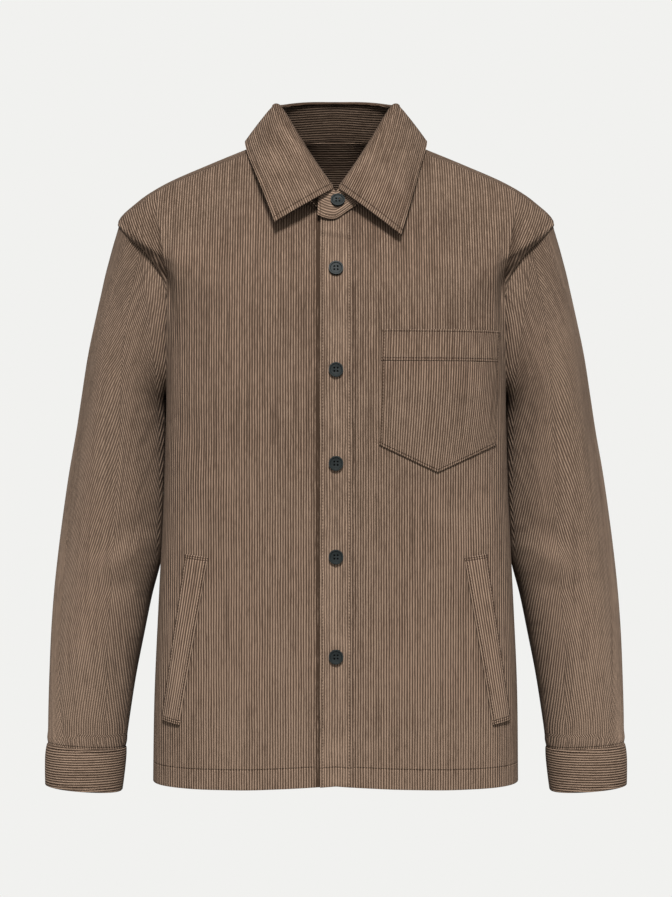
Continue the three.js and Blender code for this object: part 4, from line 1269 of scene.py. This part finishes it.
    def cuff(self) -> Grid:
        """Return the wearer's left cuff's grid."""
        rows = np.linspace(0, len(CUFF_RINGS) - 1, self.cuff_rows)
        turn = np.arange(self.turns) * 360.0 / self.turns
        row_grid, turn_grid = np.meshgrid(rows, turn, indexing="ij")
        outer = self.ring_point(CUFF_RINGS, row_grid, turn_grid)
        middle = (self.ring_point(CUFF_RINGS, row_grid, 90 + 0 * turn_grid)
                  + self.ring_point(CUFF_RINGS, row_grid, 270 + 0 * turn_grid)) / 2
        normal = outer - middle
        normal[..., 2] = 0
        normal = unit(normal)
        outer = outer - UP * SEAM_GAP
        swell = 0.8 * np.sin(np.pi * np.clip(row_grid / 2, 0, 1)) + 0.5
        ripple = 0.35 * np.sin(turn_grid / 13.0) * smooth(row_grid, 0.5, 2)
        outer = outer + normal * (swell + ripple)[..., None]
        ring = np.concatenate([outer, outer[:, :1]], axis=1)
        wales = np.stack([ring[..., 2], run_along(ring, 1)], axis=-1)
        return Grid(outer, normal, wales, DOUBLE_CLOTH, closed=True)

    def build(self, back_cloth: bpy.types.Material) -> None:
        """Build and dress both sleeves and cuffs."""
        sleeve, cuff = self.sleeve(), self.cuff()
        # Painted shade on the sleeve head, darkest at the armhole and fading within 90 mm.
        head = SeamOrShadeLine("Along", 0, 0.0, 90.0, 0.2, dash=0.0)
        for name, side in SIDES:
            cloth = Corduroy(f"sleeve_{name}_corduroy", 1.0, 0.6, seams_and_shades=(SeamOrShadeLine("Along", 1, 2.0), head),
                             seed=side + 9.0, pitch=2.6, run=WaleRun.HERRINGBONE)
            arm = shell_object(f"sleeve_{name}_cloth", sleeve if side > 0 else sleeve.mirrored(),
                               cloth.material(), back_cloth)
            hand_over(arm, "sleeve_corduroy", f"sleeve_{name}")
            seams_and_shades = (SeamOrShadeLine("Along", 0, 3.0), SeamOrShadeLine("Along", 1, 4.5))
            cloth = Corduroy(f"cuff_{name}_corduroy", 0.9, 0.85, seams_and_shades=seams_and_shades, seed=side + 13.0)
            band = shell_object(f"cuff_{name}_cloth", cuff if side > 0 else cuff.mirrored(),
                                cloth.material(), back_cloth, 0.9)
            hand_over(band, "trim_corduroy", f"cuff_{name}")


# ------------------------------------------------------------------ the collar

@dataclass
class Collar:
    """The neckband and the fall of the collar."""

    stand_columns: int = 240
    stand_rows: int = 14
    leaf_columns: int = 220
    leaf_rows: int = 46

    def stand_offset(self, angle: np.ndarray) -> np.ndarray:
        """Return how far the stand's outer side lies from the neck seam's form."""
        upper_end, around, lower_end = STAND_OFFSETS
        upper, lower = 1 - smooth(angle, 14, 60), smooth(angle, 300, 346)
        return around + upper * (upper_end - around) + lower * (lower_end - around)

    def stand_form(self, angle: np.ndarray, height: np.ndarray) -> np.ndarray:
        """Return points of the stand's form, with height from 0 at the seam to 1 at the fold."""
        foot = body_point(np.full_like(angle, NECK), angle)
        top = ring_point(table_curve(STAND_TOP, np.zeros_like(angle)), angle, STAND_SADDLE_BACK)
        return lerp(foot, top, height[..., None])

    def stand(self) -> Grid:
        """Return the stand's grid, from its upper end round to its lower end."""
        start = float(angle_at_x(NECK, STAND_END_X))
        end = 360 + float(angle_at_x(NECK, CLOSING_X))
        share = np.linspace(0, 1, self.stand_columns + 1)
        heights = np.linspace(0, 1, self.stand_rows + 1)
        height, angle = np.meshgrid(heights, lerp(start, end, share), indexing="ij")
        corner = np.clip(1 - (angle - start) / 9.0, 0, 1)
        height = height * (1 - 0.5 * corner ** 2.4)
        form = self.stand_form(angle, height)
        sag = STAND_SAG * (1 - smooth(angle, start - 4, start + 26)) * (1 - 0.75 * height)
        form = form - UP * sag[..., None] - np.array([0, 0.75, 0]) * sag[..., None]
        along = self.stand_form(angle + 1, height) - self.stand_form(angle - 1, height)
        rise = self.stand_form(angle, np.ones_like(height)) - self.stand_form(angle, np.zeros_like(height))
        normal = unit(np.cross(along, rise))
        proud = 2.2 * (1 - smooth(height, 0, 0.6)) * (1 - smooth(angle, 8, 24))
        outer = form + normal * (self.stand_offset(angle) + proud)[..., None]
        outer = outer + UP * (STAND_FOOT_GAP * (1 - height))[..., None]
        wales = np.stack([height * np.linalg.norm(rise, axis=-1), run_along(outer, 1)], axis=-1)
        return Grid(outer, normal, wales, DOUBLE_CLOTH)

    def leaf_point(self, share: np.ndarray, across: np.ndarray) -> np.ndarray:
        """Return points of the leaf.

        Args:
            share: 0 at the wearer's left end, 0.5 at the back and 1 at the right end.
            across: 0 at the fold, 1 at the free edge, and below 0 over the top of the stand.
        """
        left = share <= 0.5
        to_back = np.where(left, 2 * share, 2 * (1 - share))
        side = np.where(left, 1.0, -1.0)
        start_angle = math.degrees(math.asin(LEAF_END_X / STAND_TOP[0, 3]))
        angle = lerp(start_angle, 180.0, to_back)
        top = ring_point(table_curve(STAND_TOP, np.zeros_like(angle)), angle, STAND_SADDLE_BACK)
        away = np.stack([np.sin(np.radians(angle)), -np.cos(np.radians(angle)), 0 * angle], axis=-1)
        half = DOUBLE_CLOTH / 2
        spine = top + away * (self.stand_offset(angle) - half)[..., None]
        radius = half + LAYER_GAP + DOUBLE_CLOTH + 0.4
        swing = np.pi * np.clip(-across, 0, 1) * 0.94
        roll_point = spine + (away * np.cos(swing)[..., None] + UP * np.sin(swing)[..., None] * 0.8) * radius
        edge = table_curve(LEAF_EDGE, to_back * (len(LEAF_EDGE) - 1))
        near = side * (1 - smooth(to_back, 0, 0.35))
        edge = edge + np.stack([LEAF_POINT_SHIFT[0] * near, 0 * near, LEAF_POINT_SHIFT[1] * near], axis=-1)
        down = np.clip(across, 0, 1)
        middle, width, flat = LEAF_SHOULDER
        full = lerp(1.0, flat, np.exp(-((to_back - middle) / width) ** 2))
        bulge = LEAF_ROLL * smooth(down, 0, 0.12) * (1 - down) ** 0.6 + LEAF_BULGE * 4 * down * (1 - down)
        bulge = bulge * full
        place = lerp(roll_point, edge, down[..., None]) + away * bulge[..., None]
        return place * np.stack([side, np.ones_like(side), np.ones_like(side)], axis=-1)

    def leaf(self) -> Grid:
        """Return the leaf's grid, from inside the top of the stand to the free edge."""
        over, fall = np.linspace(-1, 0, 12)[:-1], np.linspace(0, 1, self.leaf_rows)
        across, share = np.meshgrid(np.concatenate([over, fall]), np.linspace(0, 1, self.leaf_columns + 1),
                                    indexing="ij")
        outer = self.leaf_point(share, across)
        after, before = np.clip(share + 0.004, 0, 1), np.clip(share - 0.004, 0, 1)
        above, below = np.maximum(across - 0.02, -1), np.minimum(across + 0.02, 1)
        along = self.leaf_point(after, across) - self.leaf_point(before, across)
        normal = unit(np.cross(along, self.leaf_point(share, above) - self.leaf_point(share, below)))
        run = run_along(outer, 0)
        wales = np.stack([run[-1:] - run, run_along(outer, 1)], axis=-1)
        return Grid(outer, normal, wales, DOUBLE_CLOTH)

    def build(self) -> None:
        """Build and dress the stand and the leaf."""
        # The last line is a wide band of painted shadow on the stand's lower end, beneath its upper end and
        # the leaf.
        seams_and_shades = (SeamOrShadeLine("Along", 0, 3.4), SeamOrShadeLine("Across", 0, 3.6),
                 SeamOrShadeLine("Across", 1, 45.0, 30.0, 0.9, dash=0.0))
        cloth = Corduroy("stand_corduroy", 1.2, 0.75, seams_and_shades=seams_and_shades, seed=21.0, wander=0.8, blotches=0.6)
        # The stand's inner face is a darker copy of the cloth: painted shade inside the collar.
        inside = Corduroy("stand_inside_shaded_corduroy", 0.46, seed=22.0)
        stand = shell_object("collar_stand_cloth", self.stand(), cloth.material(), inside.material(), 0.8)
        hand_over(stand, "collar_corduroy", "collar_stand")
        edges = tuple(SeamOrShadeLine(*edge, 5.5, strength=0.8)
                      for edge in (("Along", 1), ("Across", 0), ("Across", 1)))
        # Painted shade on the leaf's inner edge, tucked over the stand under the roll.
        fold = SeamOrShadeLine("Along", 0, 0.0, 12.0, 0.7, dash=0.0)
        cloth = Corduroy("leaf_corduroy", 1.12, seams_and_shades=(*edges, fold), seed=24.0, wander=0.6, blotches=0.6)
        # The leaf's underside is a darker copy of the cloth: painted shade beneath the leaf.
        under = Corduroy("leaf_under_shaded_corduroy", 0.6, seed=25.0)
        leaf = shell_object("collar_leaf_cloth", self.leaf(), cloth.material(), under.material(), 1.0)
        hand_over(leaf, "collar_corduroy", "collar_leaf")


# ------------------------------------------------------------------ trims

@dataclass
class Trims:
    """The placket, the chest pocket and the hand pockets' welts, which lie on the fronts."""

    body: Body = field(default_factory=Body)

    def patch(self, x: np.ndarray, z: np.ndarray, side: int, cloth: float,
              puff: Number = 0.0) -> Grid:
        """Return a patch that follows a front.

        Args:
            x: distances of its points from the centre line, in the front view.
            z: their heights.
            side: 1 on the wearer's left and -1 on the right.
            cloth: the patch's thickness.
            puff: how far it stands proud of the front.
        """
        level, angle = front_place(np.abs(x), z)
        form, normal = body_point(level, angle), body_normal(level, angle)
        relief = fold_offset(FRONT_FOLDS, form[..., 0] * side, form[..., 2])
        share = np.clip((form[..., 0] - CLOSING_X) / 180, 0, 1)
        relief = relief * smooth(share, 0.03, 0.16)
        outer = form + normal * (closing_offset(x, side) + PATCH_GAP + cloth + relief + puff)[..., None]
        wales = np.stack([run_along(outer, 1), outer[..., 2]], axis=-1)
        grid = Grid(outer, normal, wales, cloth)
        return grid if side > 0 else grid.mirrored()

    def pocket_x(self, across: np.ndarray, z: np.ndarray) -> np.ndarray:
        """Return a pocket point's distance from the centre line."""
        down = (POCKET["z_top"] - z) / (POCKET["z_top"] - POCKET["z_side"])
        return lerp(POCKET["x_in"], POCKET["x_out"], across) + POCKET["lean"] * down

    def pocket_band(self) -> Grid:
        """Return the grid of the band along the pocket's mouth."""
        down, across = np.meshgrid(np.linspace(0, 1, 16), np.linspace(0, 1, 70), indexing="ij")
        z = POCKET["z_top"] - POCKET["band"] * down
        puff = 0.7 * (1 - smooth(down, 0, 0.25)) + 0.4 * np.sin(np.pi * across) * (1 - down)
        return self.patch(self.pocket_x(across, z), z, 1, TRIM_CLOTH, puff)

    def pocket(self) -> Grid:
        """Return the grid of the pocket below its band, down to its point."""
        down, across = np.meshgrid(np.linspace(0, 1, 60), np.linspace(0, 1, 70), indexing="ij")
        bottom = lerp(POCKET["z_side"], POCKET["z_tip"], 1 - np.abs(2 * across - 1))
        z = lerp(POCKET["z_top"] - POCKET["band"] - SEAM_GAP, bottom, down)
        puff = 0.9 * (np.sin(np.pi * across) * np.sin(np.pi * np.clip(down, 0, 1))) ** 0.7
        return self.patch(self.pocket_x(across, z), z, 1, CLOTH, puff)

    def welt(self, side: int) -> Grid:
        """Return a hand pocket welt's grid."""
        down, across = np.meshgrid(np.linspace(0, 1, 70), np.linspace(0, 1, 14), indexing="ij")
        (top_in, top_out), (low_in, low_out) = WELT_TOP, WELT_BOTTOM
        x = lerp(lerp(top_in[0], low_in[0], down), lerp(top_out[0], low_out[0], down), across)
        z = lerp(lerp(top_in[1], low_in[1], down), lerp(top_out[1], low_out[1], down), across)
        puff = 0.5 * np.sin(np.pi * across) ** 0.6
        puff = puff + 0.9 * (1 - smooth(across, 0, 0.35)) * np.sin(np.pi * down)
        grid = self.patch(x, z, side, TRIM_CLOTH, puff)
        grid.wales[..., 0] = WELT_WIDTH * across
        return grid

    def placket(self) -> Grid:
        """Return the placket's grid, from the hem to the neck seam."""
        body = self.body
        levels = np.array(body.steps(HEM, NECK - 0.03, 170))
        x = np.linspace(-CLOSING_X, CLOSING_X, 19)
        angles = angle_at_x(levels[:, None], x[None, :])
        form, normal = body_point(levels[:, None], angles), body_normal(levels[:, None], angles)
        lift = FRONT_LIFT + LAYER_GAP + PLACKET_CLOTH + 0.4 * np.cos(np.pi * x / 40)[None, :]
        outer = form + normal * (lift + self.placket_puckers(form))[..., None]
        wales = np.stack([np.broadcast_to(x, form.shape[:2]), form[..., 2]], axis=-1)
        return Grid(outer, normal, wales, PLACKET_CLOTH)

    def placket_puckers(self, form: np.ndarray) -> np.ndarray:
        """Return the small puckers between the buttons and below the stand."""
        x, z = form[..., 0], form[..., 2]
        lean = z + 0.15 * x
        below_stand = 1.1 * np.exp(-((lean + 104) / 4) ** 2) - 1.2 * np.exp(-((lean + 110) / 3.5) ** 2)
        waves = 0.25 * np.sin(z / 9.0 + np.sin(x / 7)) + 0.2 * np.sin(z / 5.3 + 1.0)
        return below_stand + waves * smooth(np.abs(x), 6, 17)

    def build(self, back_cloth: bpy.types.Material) -> None:
        """Build and dress the trims."""
        sides = (SeamOrShadeLine("Across", 0, 3.0), SeamOrShadeLine("Across", 1, 3.0))
        cloth = Corduroy("placket_corduroy", 1.1, 0.8, seams_and_shades=(*sides, SeamOrShadeLine("Along", 0, HEM_DEPTH - 1)),
                         seed=31.0, wander=0.7, blotches=0.45)
        placket = shell_object("placket_cloth", self.placket(), cloth.material(), back_cloth, 0.6)
        hand_over(placket, "trim_corduroy", "placket")
        sides = (SeamOrShadeLine("Across", 0, 2.5), SeamOrShadeLine("Across", 1, 2.5), SeamOrShadeLine("Along", 1, 2.5))
        cloth = Corduroy("pocket_corduroy", 1.02, seams_and_shades=sides, seed=33.0)
        pocket = shell_object("chest_pocket_cloth", self.pocket(), cloth.material(), back_cloth, 0.5)
        hand_over(pocket, "trim_corduroy", "chest_pocket")
        cloth = Corduroy("pocket_band_corduroy", 1.04, seams_and_shades=(*sides, SeamOrShadeLine("Along", 0, 2.6)), seed=34.0)
        band = shell_object("pocket_band_cloth", self.pocket_band(), cloth.material(), back_cloth, 0.6)
        hand_over(band, "trim_corduroy", "chest_pocket_band")
        ends = tuple(SeamOrShadeLine(*edge, strength=0.9)
                     for edge in (("Across", 0, 2.0), ("Across", 1, 2.0), ("Along", 0, 2.0), ("Along", 0, 4.4),
                                  ("Along", 1, 2.0), ("Along", 1, 4.4)))
        for name, side in SIDES:
            cloth = Corduroy(f"welt_{name}_corduroy", 1.14, seams_and_shades=ends, seed=36.0 + side)
            welt = shell_object(f"welt_{name}_cloth", self.welt(side), cloth.material(), back_cloth, 0.7)
            hand_over(welt, "trim_corduroy", f"welt_{name}")


# ------------------------------------------------------------------ buttons

@dataclass(frozen=True)
class Button:
    """A button with a raised rim, a shallow well and four holes, all in millimetres.

    Attributes:
        node: the part it stands for, whose place it takes.
        radius: of its edge.
        depth: its thickness.
        rim: the width of its rim.
        well: how deep its middle lies below the rim.
        hole: the radius of a hole.
        spread: the distance of the holes from its middle.
    """

    node: str
    radius: float = BUTTON_RADIUS
    depth: float = 2.9
    rim: float = 1.5
    well: float = 0.9
    hole: float = 1.05
    spread: float = 2.55

    def build(self, resin: bpy.types.Material, thread: bpy.types.Material) -> None:
        """Model and dress the button, and turn it to the cloth beneath."""
        low, high = (Vector(corner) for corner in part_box(self.node))
        middle = (low + high) / 2
        height = min(middle.z / MM, FRONT_TOP)
        level, angle = front_place(np.abs(middle.x / MM), np.array(height))
        out = Vector(body_normal(level, angle).tolist())
        out.x = 0.0
        bpy.ops.object.select_all(action="DESELECT")
        bpy.ops.mesh.primitive_cylinder_add(vertices=72, radius=self.radius * MM, depth=self.depth * MM)
        button = bpy.context.active_object
        button.name = f"{self.node}_resin"
        for finish in (resin, thread):
            button.data.materials.append(finish)
        self.hollow()
        for hole in range(BUTTON_HOLES):
            self.drill(button, 2 * math.pi * (hole + 0.5) / BUTTON_HOLES)
        select_only(button)
        rounding = button.modifiers.new("Edges", "BEVEL")
        rounding.width, rounding.segments = 0.32 * MM, 3
        rounding.limit_method, rounding.angle_limit = "ANGLE", math.radians(40)
        bpy.ops.object.modifier_apply(modifier="Edges")
        bpy.ops.object.shade_smooth_by_angle(angle=math.radians(40))
        for face in button.data.polygons:
            x, y, z = face.center / MM
            sunk = z < self.depth / 2 - self.well - 0.12
            face.material_index = int(sunk and math.hypot(x, y) < self.spread * 1.5)
        button.rotation_euler = out.to_track_quat("Z", "Y").to_euler()
        button.location = middle + out.normalized() * (0.3 * MM)
        bpy.ops.object.transform_apply(location=True, rotation=True, scale=True)
        hand_over(button, "button", self.node)

    def hollow(self) -> None:
        """Sink the well into the front of the cylinder being edited."""
        bpy.ops.object.mode_set(mode="EDIT")
        bpy.ops.mesh.select_mode(type="FACE")
        bpy.ops.mesh.select_all(action="DESELECT")
        bpy.ops.object.mode_set(mode="OBJECT")
        mesh = bpy.context.active_object.data
        for face in mesh.polygons:
            face.select = face.normal.z > 0.9
        bpy.ops.object.mode_set(mode="EDIT")
        bpy.ops.mesh.inset(thickness=self.rim * MM, depth=0)
        bpy.ops.mesh.inset(thickness=0.7 * MM, depth=-self.well * MM)
        bpy.ops.object.mode_set(mode="OBJECT")

    def drill(self, button: bpy.types.Object, turn: float) -> None:
        """Sink one hole into the well, as far as the thread that fills it."""
        reach = self.spread * MM
        bpy.ops.object.select_all(action="DESELECT")
        bpy.ops.mesh.primitive_cylinder_add(
            vertices=20, radius=self.hole * MM, depth=2.0 * MM,
            location=(reach * math.cos(turn), reach * math.sin(turn), (self.depth / 2 - self.well) * MM))
        drill = bpy.context.active_object
        select_only(button)
        cut = button.modifiers.new("Hole", "BOOLEAN")
        cut.object, cut.operation, cut.solver = drill, "DIFFERENCE", "EXACT"
        bpy.ops.object.modifier_apply(modifier="Hole")
        bpy.data.objects.remove(drill, do_unlink=True)


# ------------------------------------------------------------------ stage, light and camera

@dataclass(frozen=True)
class Studio:
    """Plain pale surroundings, soft light and the camera."""

    backdrop: tuple[float, float, float] = (0.880, 0.880, 0.863)
    floor_height: float = -1.1
    camera_place: tuple[float, float, float] = (0.0, -2.5, -0.34)
    focal_length: float = 88.0

    def build(self) -> None:
        """Set up the world, the floor, the lights and the camera."""
        world = bpy.data.worlds.new("pale_room")
        world.use_nodes = True
        background = world.node_tree.nodes["Background"]
        background.inputs["Color"].default_value = (*self.backdrop, 1.0)
        background.inputs["Strength"].default_value = 1.0
        bpy.context.scene.world = world
        bpy.context.scene.view_settings.view_transform = "Standard"
        bpy.ops.object.select_all(action="DESELECT")
        bpy.ops.mesh.primitive_plane_add(size=40.0, location=(0, 0, self.floor_height))
        floor = bpy.context.active_object
        floor.name = "floor"
        s = Shader("pale_floor")
        glow = s.tree.nodes.new("ShaderNodeEmission")
        glow.inputs["Color"].default_value = (*self.backdrop, 1.0)
        output = s.tree.nodes.new("ShaderNodeOutputMaterial")
        s.tree.links.new(glow.outputs[0], output.inputs[0])
        floor.data.materials.append(s.material)
        self.sun("key", (0.04, -1.0, 1.0), 13.0, 10.9)
        self.sun("low", (0.05, -1.0, -0.25), 60.0, 2.2)
        camera_data = bpy.data.cameras.new("camera")
        camera_data.sensor_fit = "VERTICAL"
        camera_data.sensor_height = 36.0
        camera_data.lens = self.focal_length
        camera_data.clip_end = 100.0
        camera = bpy.data.objects.new("camera", camera_data)
        camera.location = self.camera_place
        camera.rotation_euler = (math.radians(90), 0, 0)
        bpy.context.collection.objects.link(camera)
        bpy.context.scene.camera = camera

    def sun(self, name: str, place: tuple[float, float, float], softness: float, strength: float) -> None:
        """Add a soft distant light.

        Args:
            name: the light's name.
            place: the side it shines from.
            softness: the angle it fills, in degrees.
            strength: its power for each square metre.
        """
        data = bpy.data.lights.new(name, "SUN")
        data.angle = math.radians(softness)
        data.energy = strength
        sun = bpy.data.objects.new(name, data)
        sun.location = place
        sun.rotation_euler = (-Vector(place)).to_track_quat("-Z", "Y").to_euler()
        bpy.context.collection.objects.link(sun)


def main() -> None:
    Studio().build()
    back_cloth = ClothBack().material()
    body = Body()
    body.build(back_cloth)
    Sleeves().build(back_cloth)
    Collar().build()
    Trims(body).build(back_cloth)
    horn, thread = Horn().material(), Thread().material()
    for number in range(1, BUTTON_COUNT + 1):
        Button(f"button_{number}").build(horn, thread)


if __name__ == "__main__":
    main()
